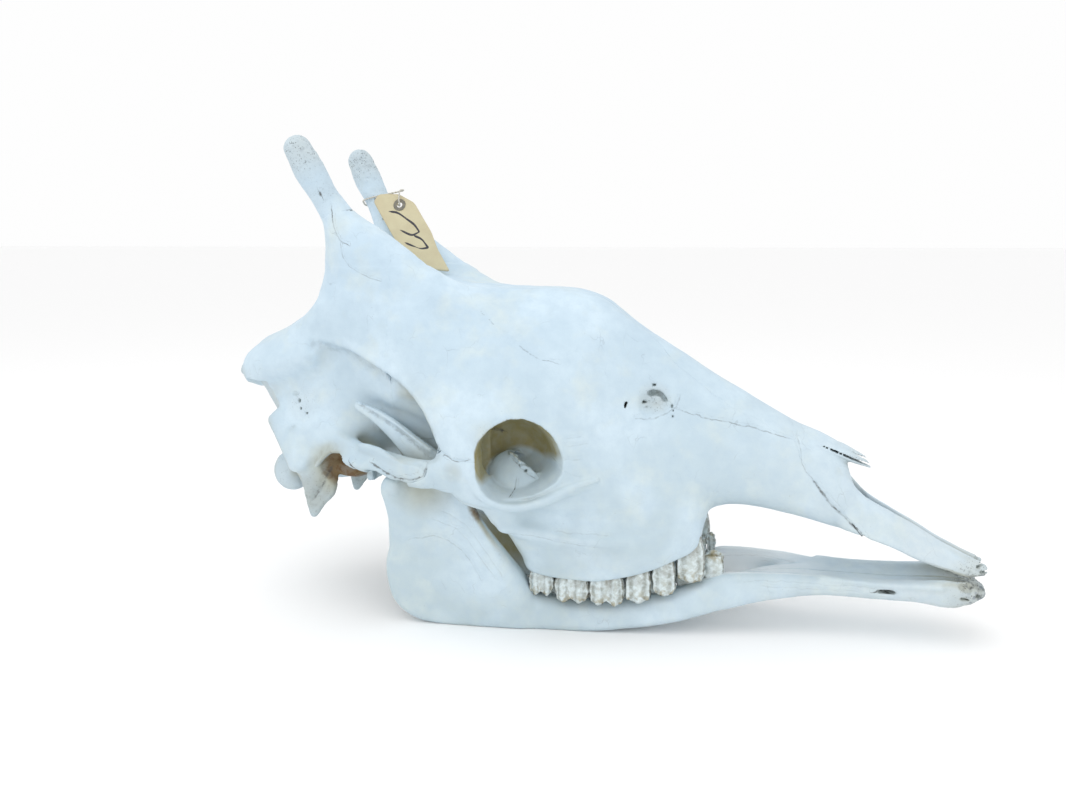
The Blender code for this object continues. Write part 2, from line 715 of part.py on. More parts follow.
def make_object(name, corners, faces):
    mesh = bpy.data.meshes.new(name)
    faces = faces.tolist() if isinstance(faces, np.ndarray) else faces
    mesh.from_pydata((np.asarray(corners) * MM).tolist(), [], faces)
    mesh.update()
    obj = bpy.data.objects.new(name, mesh)
    bpy.context.scene.collection.objects.link(obj)
    return obj


def apply_modifiers(obj):
    graph = bpy.context.evaluated_depsgraph_get()
    mesh = bpy.data.meshes.new_from_object(obj.evaluated_get(graph))
    obj.modifiers.clear()
    obj.data = mesh


def thinned(obj, triangles):
    """The same surface with about this many triangles."""
    modifier = obj.modifiers.new("Fewer faces", "DECIMATE")
    modifier.ratio = triangles / (2 * len(obj.data.polygons))
    modifier.use_collapse_triangulate = True
    apply_modifiers(obj)
    return obj


def rested(obj):
    """Lifts to the floor what thinning has left under it."""
    for corner in obj.data.vertices:
        corner.co.z = max(corner.co.z, 0.0)


def keep_largest(obj):
    """Leaves only the largest closed surface, as a cut can leave crumbs."""
    bm = bmesh.new()
    bm.from_mesh(obj.data)
    bmesh.ops.remove_doubles(bm, verts=bm.verts, dist=1e-6)
    left = set(bm.faces)
    shells = []
    while left:
        shell = set()
        edge = [left.pop()]
        while edge:
            face = edge.pop()
            shell.add(face)
            shared = [e for e in face.edges if len(e.link_faces) == 2]
            for neighbour in {f for e in shared for f in e.link_faces} & left:
                left.discard(neighbour)
                edge.append(neighbour)
        shells.append(shell)
    keep = max(shells, key=len)
    bmesh.ops.delete(bm, geom=[f for f in bm.faces if f not in keep], context="FACES")
    bmesh.ops.triangulate(bm, faces=bm.faces)
    bm.to_mesh(obj.data)
    bm.free()


def combine(obj, other, operation):
    """Cuts another object from obj or keeps their overlap. The other object is then removed."""
    modifier = obj.modifiers.new("Combine", "BOOLEAN")
    modifier.operation, modifier.solver, modifier.object = operation, "EXACT", other
    apply_modifiers(obj)
    bpy.data.objects.remove(other)


def join_all(obj, others):
    """Joins many closed meshes to obj in one union and removes them."""
    group = bpy.data.collections.new("Joined")
    for other in others:
        bpy.context.scene.collection.objects.unlink(other)
        group.objects.link(other)
    bpy.context.scene.collection.children.link(group)
    modifier = obj.modifiers.new("Join", "BOOLEAN")
    modifier.operation, modifier.solver = "UNION", "EXACT"
    modifier.operand_type, modifier.collection = "COLLECTION", group
    apply_modifiers(obj)
    keep_largest(obj)
    for other in others:
        bpy.data.objects.remove(other)
    bpy.data.collections.remove(group)


def prism(name, outline, low, high, inset=0.0):
    """An outline in x and z, run sideways from low to high, with every side moved in by inset."""
    points = np.array(outline, float)
    ahead = np.roll(points, -1, 0) - points
    ahead /= np.linalg.norm(ahead, axis=1)[:, None]
    after = np.roll(points, -1, axis=0)
    turn = np.sign(np.sum(points[:, 0] * after[:, 1] - after[:, 0] * points[:, 1]))
    inward = turn * np.stack([-ahead[:, 1], ahead[:, 0]], 1)
    both = inward + np.roll(inward, 1, 0)
    points += inset * 2 * both / np.sum(both**2, 1)[:, None]
    if turn > 0:
        points = points[::-1]
    count = len(points)
    near = np.insert(points, 1, low + inset, axis=1)
    far = np.insert(points, 1, high - inset, axis=1)
    sides = [(i, (i + 1) % count, count + (i + 1) % count, count + i) for i in range(count)]
    caps = [tuple(range(count))[::-1], tuple(range(count, 2 * count))]
    obj = make_object(name, np.concatenate([near, far]), sides + caps)
    face_outward(obj)
    return obj


def trough(name, stations, top, inset=0.0):
    """A box along x under top, from stations of x, half-width and floor."""
    corners = []
    for i, (x, half, floor) in enumerate(stations):
        x += inset * ((i == 0) - (i == len(stations) - 1))
        half, floor = half - inset, floor + inset
        corners += [(x, -half, floor), (x, half, floor), (x, half, top), (x, -half, top)]
    faces = [(0, 1, 2, 3), tuple(4 * (len(stations) - 1) + k for k in (3, 2, 1, 0))]
    for i in range(len(stations) - 1):
        for k in range(4):
            here, there = 4 * i + k, 4 * i + (k + 1) % 4
            faces.append((here, here + 4, there + 4, there))
    obj = make_object(name, corners, faces)
    face_outward(obj)
    return obj


def copy_of(obj, name):
    found = obj.copy()
    found.data = obj.data.copy()
    found.name = found.data.name = name
    bpy.context.scene.collection.objects.link(found)
    return found


def taken_out(body, name, region):
    """Cuts a region out of body and returns what it held, with the width of a cut between them."""
    piece = copy_of(body, name)
    combine(piece, region(CUT), "INTERSECT")
    combine(body, region(0.0), "DIFFERENCE")
    keep_largest(body)
    return piece


def halves(obj, name):
    """Parts a bone at the middle plane, its right side at -Y."""
    outline = [(-500, -100), (500, -100), (500, 600), (-500, 600)]
    found = []
    for side, low, high in (("right", -300, -CUT / 2), ("left", CUT / 2, 300)):
        half = copy_of(obj, f"{name}_{side}")
        combine(half, prism("cutter", outline, low, high), "INTERSECT")
        keep_largest(half)
        found.append(half)
    bpy.data.objects.remove(obj)
    return found


def tooth(name, back, front, side, gum, tip, half, ring):
    """A crown and root: the ring at the root, the gum and the chewing edge, closed by a sunken middle."""
    ring = np.array(ring, float) * (front - back, half)
    middle = np.array([(back + front) / 2, abs(side)])
    down = np.sign(gum - tip)
    levels = []
    for share, z in ((0.6, gum + down * TOOTH_ROOT), (0.96, gum), (1.0, tip)):
        level = np.insert(ring * share + middle, 2, z, axis=1)
        levels.append(level)
    peak = np.where(np.abs(ring[:, 1]) > 0.7 * half, 0, 1) + np.where(np.arange(len(ring)) % 2, 0, 0.8)
    levels[-1][:, 2] += down * CUSP * peak
    count = len(ring)
    points = np.concatenate(levels + [[(*middle, tip + down * 2 * CUSP)]])
    points[:, 1] *= np.sign(side)
    faces = [tuple(range(count))]
    for i in range(2):
        for k in range(count):
            here, there = i * count + k, i * count + (k + 1) % count
            faces.append((here, here + count, there + count, there))
    top = 2 * count
    faces += [(top + k, 3 * count, top + (k + 1) % count) for k in range(count)]
    if down * np.sign(side) > 0:
        faces = [face[::-1] for face in faces]
    obj = make_object(name, points, faces)
    face_outward(obj)
    return obj


def face_outward(obj):
    bm = bmesh.new()
    bm.from_mesh(obj.data)
    bmesh.ops.recalc_face_normals(bm, faces=bm.faces)
    bm.to_mesh(obj.data)
    bm.free()


def teeth(right, left):
    """The cheek teeth of both sides of a jaw."""
    found = []
    for side, table in ((-1, right), (1, left)):
        for i, (back, front, middle, gum, tip, half, lobes) in enumerate(table):
            ring = PREMOLAR_RING if lobes == 1 else LOBE_RING
            found.append(tooth(f"tooth{i}", back, front, side * middle, gum, tip, half, ring))
    return found


def on_tag(along, across, out=0.0):
    """A place on the tag, from its hole's middle: along towards its tip, across towards the snout and
    out from its near face."""
    hole, tip = np.array(TAG_HOLE), np.array(TAG_TIP)
    down = (tip - hole) / np.linalg.norm(tip - hole)
    near = np.cross(down, TAG_ACROSS)
    near /= np.linalg.norm(near)
    return hole + along * down + across * np.cross(near, down) + out * near


def plate(name, outline, hole, low, high):
    """A thin plate on the tag's plane with a round hole, between two heights over its face."""
    count = len(hole)
    rings = [(outline, low), (outline, high), (hole, high), (hole, low)]
    corners = [on_tag(a, c, out) for ring, out in rings for a, c in ring]
    faces = []
    for i in range(4):
        for k in range(count):
            here, there = i * count + k, i * count + (k + 1) % count
            other = (i + 1) % 4 * count
            faces.append((here, there, other + (k + 1) % count, other + k))
    obj = make_object(name, corners, faces)
    face_outward(obj)
    return obj


def circle(radius, count=16):
    turn = 2 * math.pi * np.arange(count) / count
    return list(zip(radius * np.cos(turn), radius * np.sin(turn)))


def tag_outline(count=16):
    """The tag's outline met by rays from its hole, so that its corners pair with the hole's."""
    corners = np.array(TAG_OUTLINE, float)
    turns = np.arctan2(corners[:, 1], corners[:, 0])
    found = []
    for a, c in circle(1.0, count):
        turn = math.atan2(c, a)
        gap = np.abs((turns - turn + math.pi) % (2 * math.pi) - math.pi)
        nearest = int(np.argmin(gap))
        if gap[nearest] < math.pi / count:
            found.append(tuple(corners[nearest]))
            continue
        for p, q in zip(corners, np.roll(corners, -1, 0)):
            grid = np.array([[a, p[0] - q[0]], [c, p[1] - q[1]]])
            if abs(np.linalg.det(grid)) < 1e-9:
                continue
            reach, share = np.linalg.solve(grid, p)
            if reach > 0 and -1e-6 <= share <= 1 + 1e-6:
                found.append((reach * a, reach * c))
                break
    return found


def cord(name, points, radius, sides=6, pieces=44):
    """A closed cord through the points."""
    points = np.array(points, float)
    count = len(points)
    t = np.linspace(0, count, pieces, endpoint=False)
    i = t.astype(int)
    t = (t - i)[:, None]
    a, b, c, d = (points[(i + k) % count] for k in (-1, 0, 1, 2))
    line = b + 0.5 * t * (c - a + t * (2 * a - 5 * b + 4 * c - d + t * (3 * (b - c) + d - a)))
    ahead = np.roll(line, -1, 0) - np.roll(line, 1, 0)
    ahead /= np.linalg.norm(ahead, axis=1)[:, None]
    axis = np.subtract(OSSICONE[1][:3], OSSICONE[3][:3])
    first = np.cross(ahead, axis)
    first /= np.linalg.norm(first, axis=1)[:, None]
    second = np.cross(ahead, first)
    turn = 2 * np.pi * np.arange(sides) / sides
    rings = line[:, None] + radius * (
        np.cos(turn)[None, :, None] * first[:, None] + np.sin(turn)[None, :, None] * second[:, None]
    )
    faces = []
    for k in range(pieces):
        for j in range(sides):
            here, ahead_k = k * sides, (k + 1) % pieces * sides
            faces.append((here + j, here + (j + 1) % sides, ahead_k + (j + 1) % sides, ahead_k + j))
    obj = make_object(name, rings.reshape(-1, 3), faces)
    face_outward(obj)
    return obj


def paint(obj, colour, roughness, sharp_degrees=40):
    material = bpy.data.materials.new(obj.name)
    material.use_nodes = True
    shader = material.node_tree.nodes["Principled BSDF"]
    shader.inputs["Base Color"].default_value = (*colour, 1)
    shader.inputs["Roughness"].default_value = roughness
    material.diffuse_color = (*colour, 1)
    obj.data.materials.clear()
    obj.data.materials.append(material)
    obj.data.shade_smooth()
    obj.data.set_sharp_from_angle(angle=math.radians(sharp_degrees))


def horn_region(inset):
    """Both ossicones: everything over a plane through their roots."""
    base, tip = np.array(OSSICONE[HORN_CUT][:3]), np.array(OSSICONE[0][:3])
    lean = (tip - base)[[0, 2]] / np.linalg.norm((tip - base)[[0, 2]])
    across = np.array([lean[1], -lean[0]])
    foot = base[[0, 2]]
    near, far = foot - 80 * across, foot + 80 * across
    outline = [near, far, far + 160 * lean, near + 160 * lean]
    return prism("cutter", outline, -120, 120, inset)


def dense(step=2.2):
    for obj in list(bpy.data.objects):
        bpy.data.objects.remove(obj)
    skull = make_object("cranium", *skull_field(step).surface())
    jaw = make_object("mandible", *jaw_field(step).surface())
    return skull, jaw


def cord_line():
    """The string's middle line: round the left ossicone and through the tag's hole."""
    low, high = np.array(OSSICONE[3][:3], float), np.array(OSSICONE[1][:3], float)
    axis = (high - low) / np.linalg.norm(high - low)
    centre = np.array(OSSICONE[2][:3]) + STRING_RISE * axis
    hole = on_tag(0, 0)
    toward = hole - centre
    toward -= (toward @ axis) * axis
    toward /= np.linalg.norm(toward)
    aside = np.cross(axis, toward)
    found = []
    for degrees in (75, 115, 150, 180, 210, 245, 285):
        turn = math.radians(degrees)
        found.append(centre + STRING_REACH * (math.cos(turn) * toward + math.sin(turn) * aside))
    return found + [on_tag(*place) for place in STRING_THROUGH]


def main():
    skull, jaw = dense(GRID_STEP)
    thinned(skull, SKULL_TRIANGLES)
    thinned(jaw, JAW_TRIANGLES)
    rested(jaw)
    join_all(skull, teeth(UPPER_TEETH, UPPER_TEETH))
    join_all(jaw, teeth(LOWER_TEETH, [*LOWER_TEETH[:-1], LEFT_STUMP]))
    nodes = halves(jaw, "mandible")
    regions = {
        "ossicone": horn_region,
        "nasal": lambda inset: trough("cutter", NASAL_BED, 320, inset),
        "premaxilla": lambda inset: prism("cutter", PREMAXILLA_SEAM, -90, 90, inset),
        "maxilla": lambda inset: prism("cutter", MAXILLA_SEAM, -150, 150, inset),
    }
    for name, region in regions.items():
        nodes += halves(taken_out(skull, name, region), name)
    nodes.append(skull)
    for node in nodes:
        paint(node, BONE_COLOUR, 0.55)
    hole = circle(TAG_HOLE_RADIUS)
    tag = plate("specimen_tag", tag_outline(), hole, -TAG_THICKNESS, 0.0)
    paint(tag, CARD_COLOUR, 0.7, CARD_SHARP)
    eyelet = plate("tag_eyelet", circle(EYELET_RADIUS), hole, EYELET_CLEARANCE, EYELET_THICKNESS)
    paint(eyelet, RING_COLOUR, 0.6, CARD_SHARP)
    paint(cord("tag_string", cord_line(), STRING_RADIUS), STRING_COLOUR, 0.9)


if __name__ == "__main__":
    main()
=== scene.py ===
"""The looks of a giraffe skull: bones, cheek teeth, and a card tag tied to one horn.

Lengths in the tables are in millimetres in the model's own frame: +X runs to the snout, +Y to the
animal's left, +Z up, and the lower jaw rests on z = 0. Each bone is a field of signed distances over a
grid, negative inside, made of lofted walls, swept bars and balls that are joined or cut with a fillet.
Seams part the bones, and the surface where the field is zero becomes the mesh. Teeth, card, number and
string are surfaces of two parameters.
"""

import math

import bpy
import numpy as np
from mathutils import Matrix, Vector


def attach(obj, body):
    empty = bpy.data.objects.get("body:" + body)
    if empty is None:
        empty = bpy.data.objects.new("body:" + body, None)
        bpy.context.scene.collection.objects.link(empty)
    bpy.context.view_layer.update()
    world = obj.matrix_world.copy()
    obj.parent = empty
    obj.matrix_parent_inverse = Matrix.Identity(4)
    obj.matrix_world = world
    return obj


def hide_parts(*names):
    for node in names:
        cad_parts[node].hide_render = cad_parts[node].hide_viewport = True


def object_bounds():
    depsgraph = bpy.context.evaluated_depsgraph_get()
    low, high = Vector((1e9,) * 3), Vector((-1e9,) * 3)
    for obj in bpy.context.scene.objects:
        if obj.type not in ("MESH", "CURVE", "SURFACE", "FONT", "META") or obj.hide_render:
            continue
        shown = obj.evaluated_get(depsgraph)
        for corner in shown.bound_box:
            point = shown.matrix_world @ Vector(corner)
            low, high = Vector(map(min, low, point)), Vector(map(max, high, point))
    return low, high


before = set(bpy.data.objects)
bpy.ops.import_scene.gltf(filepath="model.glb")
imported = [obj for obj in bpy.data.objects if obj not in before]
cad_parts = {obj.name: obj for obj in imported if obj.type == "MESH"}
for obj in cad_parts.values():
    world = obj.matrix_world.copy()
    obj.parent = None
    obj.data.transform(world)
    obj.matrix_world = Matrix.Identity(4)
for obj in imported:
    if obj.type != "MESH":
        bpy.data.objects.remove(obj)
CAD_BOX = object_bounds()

bl_info = {
    "name": "Giraffe skull",
    "version": (1, 0, 0),
    "blender": (4, 5, 0),
    "location": "3D View > Sidebar > Skull",
    "description": "Bones, cheek teeth, card tag and stage of a giraffe skull",
    "category": "Object",
}

MM = 0.001
FAR = 40.0
GAP = 0.35
COARSER = 1.0


def cubic(low, high, leaving, arriving, t):
    """A cubic from low to high over t from 0 to 1, with these slopes where it leaves and arrives."""
    start = low * (1 + 2 * t) * (1 - t) ** 2 + leaving * t * (1 - t) ** 2
    return start + high * t**2 * (3 - 2 * t) + arriving * t**2 * (t - 1)


def monotone_cubic(knots, values, at):
    """A cubic through the knots that never overshoots them, held level past its ends.
    values has one row for each knot, and the result one row for each place in at."""
    knots = np.asarray(knots, float)
    values = np.asarray(values, float).reshape(len(knots), -1)
    width = np.diff(knots)[:, None]
    rise = np.diff(values, axis=0) / width
    slope = np.zeros_like(values)
    turning = rise[:-1] * rise[1:] <= 0
    mean = (width[:-1] + width[1:]) * 3
    near = (2 * width[1:] + width[:-1]) / np.where(turning, 1, rise[:-1])
    far = (width[1:] + 2 * width[:-1]) / np.where(turning, 1, rise[1:])
    slope[1:-1] = np.where(turning, 0, mean / np.where(turning, 1, near + far))
    slope[0], slope[-1] = rise[0], rise[-1]
    at = np.clip(at, knots[0], knots[-1])
    i = np.clip(np.searchsorted(knots, at, side="right") - 1, 0, len(knots) - 2)
    step = width[i]
    t = (at - knots[i])[:, None] / step
    return cubic(values[i], values[i + 1], slope[i] * step, slope[i + 1] * step, t)


def smooth_min(a, b, blend):
    """The smaller of two distances, with a fillet where they are within blend of each other."""
    if not blend:
        return np.minimum(a, b)
    near = np.maximum(blend - np.abs(a - b), 0) / blend
    return np.minimum(a, b) - near * near * blend / 4


def smooth_max(a, b, blend):
    """The larger of two distances, with a rounded edge where they are within blend of each other."""
    return -smooth_min(-a, -b, blend)


LATTICE = np.random.default_rng(11).random((32, 32, 32)).astype(np.float32) * 2 - 1


def noise(points, size):
    """Random numbers on a lattice with this spacing, between -1 and 1, joined by smooth steps."""
    place = np.asarray(points, np.float32) / size
    base = np.floor(place).astype(np.int32)
    t = place - base
    t = t * t * (3 - 2 * t)
    found = np.zeros(len(place), np.float32)
    for corner in np.ndindex(2, 2, 2):
        share = np.prod(np.where(corner, t, 1 - t), axis=1)
        found += share * LATTICE[tuple(((base + corner) & 31).T)]
    return found


def layered_noise(points, size, layers=3):
    """Noise at this spacing, plus half as much at half the spacing, and so on."""
    return sum(noise(points + 37.0 * k, size / 2**k) / 2**k for k in range(layers))


def wavering(amount, size, *place):
    """Layered noise of this height and spacing at places given as x, side and z."""
    at = np.stack(np.broadcast_arrays(*place), -1)
    return amount * layered_noise(at.reshape(-1, 3), size, 2).reshape(at.shape[:-1])


class Wall:
    """A loft along X: at each station a bottom, a top and half-thicknesses from bottom to top, about a
    middle line that may lie off the middle plane."""

    def __init__(self, stations, middles=None, edge=10.0, rear=None):
        table = np.array(stations, float)
        self.x, self.bottom, self.top, self.half = table[:, 0], table[:, 1], table[:, 2], table[:, 3:]
        self.middles, self.edge, self.rear = middles, edge, rear
        reach = self.half.max() + (0 if middles is None else np.max(np.array(middles)[:, 1:]))
        self.low = np.array((self.x[0], 0, self.bottom.min()))
        self.high = np.array((self.x[-1], reach, self.top.max()))

    def distance(self, axes):
        x, side, z = axes
        bottom, top = (monotone_cubic(self.x, v, x)[:, :1] for v in (self.bottom, self.top))
        half = monotone_cubic(self.x, self.half, x)
        levels = half.shape[1] - 1
        share = np.clip((z[None, :] - bottom) / (top - bottom), 0, 1) * levels
        i = np.minimum(share.astype(int), levels - 1)
        t = share - i
        picked = [np.take_along_axis(half, np.clip(i + k, 0, levels), 1) for k in (-1, 0, 1, 2)]
        width = cubic(picked[1], picked[2], (picked[2] - picked[0]) / 2, (picked[3] - picked[1]) / 2, t)
        steep = np.sqrt(1 + np.gradient(width, x, axis=0) ** 2 + np.gradient(width, z, axis=1) ** 2)
        middle = np.zeros_like(width)
        if self.middles is not None:
            rows = np.array(self.middles, float)
            foot, head = monotone_cubic(rows[:, 0], rows[:, 1:], x).T[..., None]
            middle = foot + (head - foot) * np.clip((z[None, :] - bottom) / (top - bottom), 0, 1)
        above, below = (
            away / np.sqrt(1 + np.gradient(end[:, 0], x)[:, None] ** 2)
            for away, end in ((z[None, :] - top, top), (bottom - z[None, :], bottom))
        )
        cap = smooth_max(above, below, self.edge)
        ends = np.maximum(self.x[0] - x, x - self.x[-1])[:, None]
        if self.rear is not None:
            line = monotone_cubic(*np.array(self.rear, float).T, z)[:, 0]
            ends = np.maximum(ends, (line[None, :] - x[:, None]) / np.sqrt(1 + np.gradient(line, z) ** 2))
        cap = smooth_max(cap, ends + 0 * cap, self.edge)
        flank = (np.abs(side[None, :, None] - middle[:, None, :]) - width[:, None, :]) / steep[:, None, :]
        return smooth_max(flank.astype(np.float32), cap[:, None, :].astype(np.float32), self.edge)


class Bar:
    """A bar of oval section along a smooth path. Each station is x, side, z, the half-thickness along
    the across axis and the half-thickness at right angles to it."""

    def __init__(self, stations, across=(0, 1, 0), pieces=10):
        table = np.array(stations, float)
        lengths = np.linalg.norm(np.diff(table[:, :3], axis=0), axis=1)
        along = np.concatenate([[0], np.cumsum(np.maximum(lengths, 1e-6))])
        count = pieces + 1 if len(table) > 2 else 2
        self.stations = monotone_cubic(along, table, np.linspace(0, along[-1], count))
        self.across = np.array(across, float)
        reach = self.stations[:, 3:].max(1)[:, None]
        self.low = (self.stations[:, :3] - reach).min(0)
        self.high = (self.stations[:, :3] + reach).max(0)

    def distance(self, axes):
        found = np.full([len(axis) for axis in axes], FAR, np.float32)
        for start, end in zip(self.stations[:-1], self.stations[1:]):
            self.add_piece(found, axes, start, end)
        return found

    def add_piece(self, found, axes, start, end):
        """One piece between two stations: an oval cone with rounded ends."""
        reach = max(start[3:].max(), end[3:].max()) + FAR / 2
        low, high = np.minimum(start, end)[:3] - reach, np.maximum(start, end)[:3] + reach
        part = tuple(slice(*np.searchsorted(axis, (low[k], high[k]))) for k, axis in enumerate(axes))
        x, side, z = np.ix_(*(axis[part[k]].astype(np.float32) - start[k] for k, axis in enumerate(axes)))
        length = max(np.linalg.norm(end[:3] - start[:3]), 1e-6)
        ahead = (end[:3] - start[:3]) / length
        across = self.across - (self.across @ ahead) * ahead
        across /= np.linalg.norm(across)
        over = np.cross(ahead, across)
        along = x * ahead[0] + side * ahead[1] + z * ahead[2]
        t = np.clip(along / length, 0, 1)
        wide = start[3] + (end[3] - start[3]) * t
        tall = start[4] + (end[4] - start[4]) * t
        tip = np.minimum(wide, tall)
        a = (x * across[0] + side * across[1] + z * across[2]) / wide
        b = (x * over[0] + side * over[1] + z * over[2]) / tall
        c = (along - t * length) / tip
        near = np.sqrt(a * a + b * b + c * c) + 1e-6
        slope = np.sqrt((a / wide) ** 2 + (b / tall) ** 2 + (c / tip) ** 2) + 1e-6
        found[part] = np.minimum(found[part], near * (near - 1) / slope)


class Ball:
    """An ellipsoid with its axes along x, the side and z."""

    def __init__(self, centre, radii):
        self.centre, self.radii = np.array(centre, float), np.array(radii, float)
        self.low, self.high = self.centre - self.radii, self.centre + self.radii

    def distance(self, axes):
        x, side, z = np.ix_(*((axis - c) / r for axis, c, r in zip(axes, self.centre, self.radii)))
        near = np.sqrt(x**2 + side**2 + z**2) + 1e-6
        long, wide, tall = self.radii
        slope = np.sqrt((x / long) ** 2 + (side / wide) ** 2 + (z / tall) ** 2) + 1e-6
        return (near * (near - 1) / slope).astype(np.float32)


class Field:
    """Distances on a grid over part of the +Y half of the head."""

    def __init__(self, low, high, step):
        self.axes = [np.arange(a, b + step, step) for a, b in zip(low, high)]
        self.step = step
        self.distance = np.full([len(axis) for axis in self.axes], FAR, np.float32)

    def around(self, shape, blend):
        """The part of the grid near a shape and the distances to it there."""
        margin = blend + 6.0
        part = tuple(
            slice(*np.searchsorted(axis, (shape.low[k] - margin, shape.high[k] + margin)))
            for k, axis in enumerate(self.axes)
        )
        if min(cut.stop - cut.start for cut in part) < 2:
            return None, None
        return part, shape.distance([axis[part[k]] for k, axis in enumerate(self.axes)])

    def join(self, shape, blend):
        part, near = self.around(shape, blend)
        if part:
            self.distance[part] = smooth_min(self.distance[part], near, blend)

    def cut(self, shape, blend):
        part, near = self.around(shape, blend)
        if part:
            self.distance[part] = smooth_max(self.distance[part], -near, blend)

    def soften(self, reach):
        """Averages along x over about this reach in mm, so that a loft's stations leave no ripples."""
        values = self.distance
        for _ in range(round(2 * (reach / self.step) ** 2)):
            values[1:-1] += (values[:-2] + values[2:] - 2 * values[1:-1]) / 4

    def limit(self, bound):
        """Leaves nothing where a bound is above zero."""
        self.distance = np.maximum(self.distance, bound.astype(np.float32))

    def keep(self, region, gap):
        """Leaves what lies in a region, drawn in by half a gap on each side."""
        self.limit(region.distance(self.axes) + gap / 2)

    def drop(self, region, gap):
        """Leaves what lies outside a region."""
        self.limit(gap / 2 - region.distance(self.axes))


def surface_of(axes, values):
    """Corners and four-sided faces where the values cross zero: one corner for each grid cell that the
    surface crosses, at the mean of where it crosses the cell's edges."""
    step = axes[0][1] - axes[0][0]
    fill_corner_contacts(values, step)
    inside = values < 0
    low = np.array([axis[0] for axis in axes])
    ends = slice(None, -1), slice(1, None)
    count = sum(inside[ends[i], ends[j], ends[k]].astype(np.int8) for i, j, k in np.ndindex(2, 2, 2))
    crossed = np.nonzero((count > 0) & (count < 8))
    index = np.full(count.shape, -1, np.int32)
    index[crossed] = np.arange(len(crossed[0]))
    base = np.stack(crossed, 1)
    total = np.zeros((len(base), 3))
    hits = np.zeros(len(base))
    for axis in range(3):
        ahead = np.eye(3, dtype=int)[axis]
        for offset in np.ndindex(2, 2):
            corner = np.insert(np.array(offset), axis, 0)
            at = base + corner
            a, b = values[tuple(at.T)], values[tuple((at + ahead).T)]
            hit = (a < 0) != (b < 0)
            share = np.where(hit, a / np.where(hit, a - b, 1), 0)
            total += np.where(hit[:, None], corner + ahead * share[:, None], 0)
            hits += hit
    corners = low + (base + total / hits[:, None]) * step
    faces = []
    for axis in range(3):
        u, v = (axis + 1) % 3, (axis + 2) % 3
        along = np.moveaxis(inside, axis, 0)
        at = np.stack(np.nonzero(np.moveaxis(along[1:] != along[:-1], 0, axis)), 1)
        at = at[np.all([(at[:, k] > 0) & (at[:, k] < values.shape[k] - 1) for k in (u, v)], 0)]
        du, dv = np.eye(3, dtype=int)[u], np.eye(3, dtype=int)[v]
        face = np.stack([index[tuple((at - s).T)] for s in (du + dv, dv, 0 * du, du)], 1)
        faces.append(np.where(inside[tuple(at.T)][:, None], face, face[:, ::-1]))
    return corners, np.concatenate(faces)


def fill_corner_contacts(values, step):
    """Fills a cell corner where two parts of the solid meet only along an edge, so that no edge of the
    surface has four faces."""
    touch = np.float32(-0.05 * step)
    for _ in range(8):
        found = 0
        for u, v in ((0, 1), (1, 2), (0, 2)):
            views = []
            for du, dv in ((0, 0), (1, 1), (1, 0), (0, 1)):
                part = [slice(None)] * 3
                part[u] = slice(du, values.shape[u] - 1 + du)
                part[v] = slice(dv, values.shape[v] - 1 + dv)
                views.append(values[tuple(part)])
            same = [view < 0 for view in views]
            one = same[0] & same[1] & ~same[2] & ~same[3]
            other = ~same[0] & ~same[1] & same[2] & same[3]
            found += one.sum() + other.sum()
            views[2][one] = touch
            views[0][other] = touch
        if not found:
            return


def sampled(axes, values, points):
    """The values between grid corners, joined in straight lines along each axis."""
    step = axes[0][1] - axes[0][0]
    shape = np.array(values.shape)
    place = (points - [axis[0] for axis in axes]) / step
    base = np.clip(place.astype(int), 0, shape - 2)
    t = np.clip(place - base, 0, 1)
    flat = values.ravel()
    first = (base[:, 0] * shape[1] + base[:, 1]) * shape[2] + base[:, 2]
    found = np.zeros(len(points))
    for i, j, k in np.ndindex(2, 2, 2):
        share = (t[:, 0] if i else 1 - t[:, 0]) * (t[:, 1] if j else 1 - t[:, 1])
        share = share * (t[:, 2] if k else 1 - t[:, 2])
        found += share * flat[first + (i * shape[1] + j) * shape[2] + k]
    return found


def slope_of(axes, values, points):
    """How the values change along each axis at some points."""
    reach = (axes[0][1] - axes[0][0]) / 2
    found = np.empty_like(points)
    for axis in range(3):
        ahead = reach * np.eye(3)[axis]
        found[:, axis] = sampled(axes, values, points + ahead) - sampled(axes, values, points - ahead)
    return found / (2 * reach)


def evened(corners, faces, amount):
    """Each corner drawn towards the mean of its neighbours along the faces' edges."""
    ends = np.concatenate([faces[:, [k, (k + 1) % 4]] for k in range(4)])
    ends = np.concatenate([ends, ends[:, ::-1]])
    count = np.bincount(ends[:, 0], minlength=len(corners))
    mean = np.stack(
        [np.bincount(ends[:, 0], corners[ends[:, 1], k], minlength=len(corners)) for k in range(3)], 1
    )
    return corners + amount * (mean / np.maximum(count, 1)[:, None] - corners)


def settled(axes, values, corners, faces):
    """The corners spread evenly and set on the surface where the values are zero."""
    step = axes[0][1] - axes[0][0]
    for amount in (0.6, 0.4):
        corners = evened(corners, faces, amount)
        for _ in range(2):
            slope = slope_of(axes, values, corners)
            steep = np.maximum(np.sum(slope**2, 1), 0.15)
            move = -(sampled(axes, values, corners) / steep)[:, None] * slope
            length = np.linalg.norm(move, axis=1)[:, None]
            corners = corners + move * np.minimum(1, 0.4 * step / np.maximum(length, 1e-6))
    return corners


def normals_of(corners, faces):
    """Outward directions at the corners, from the faces round each."""
    a, b, c, d = (corners[faces[:, k]] for k in range(4))
    across = np.cross(c - a, d - b)
    found = np.zeros_like(corners)
    for k in range(4):
        for axis in range(3):
            found[:, axis] += np.bincount(faces[:, k], across[:, axis], minlength=len(corners))
    return found / np.maximum(np.linalg.norm(found, axis=1), 1e-9)[:, None]


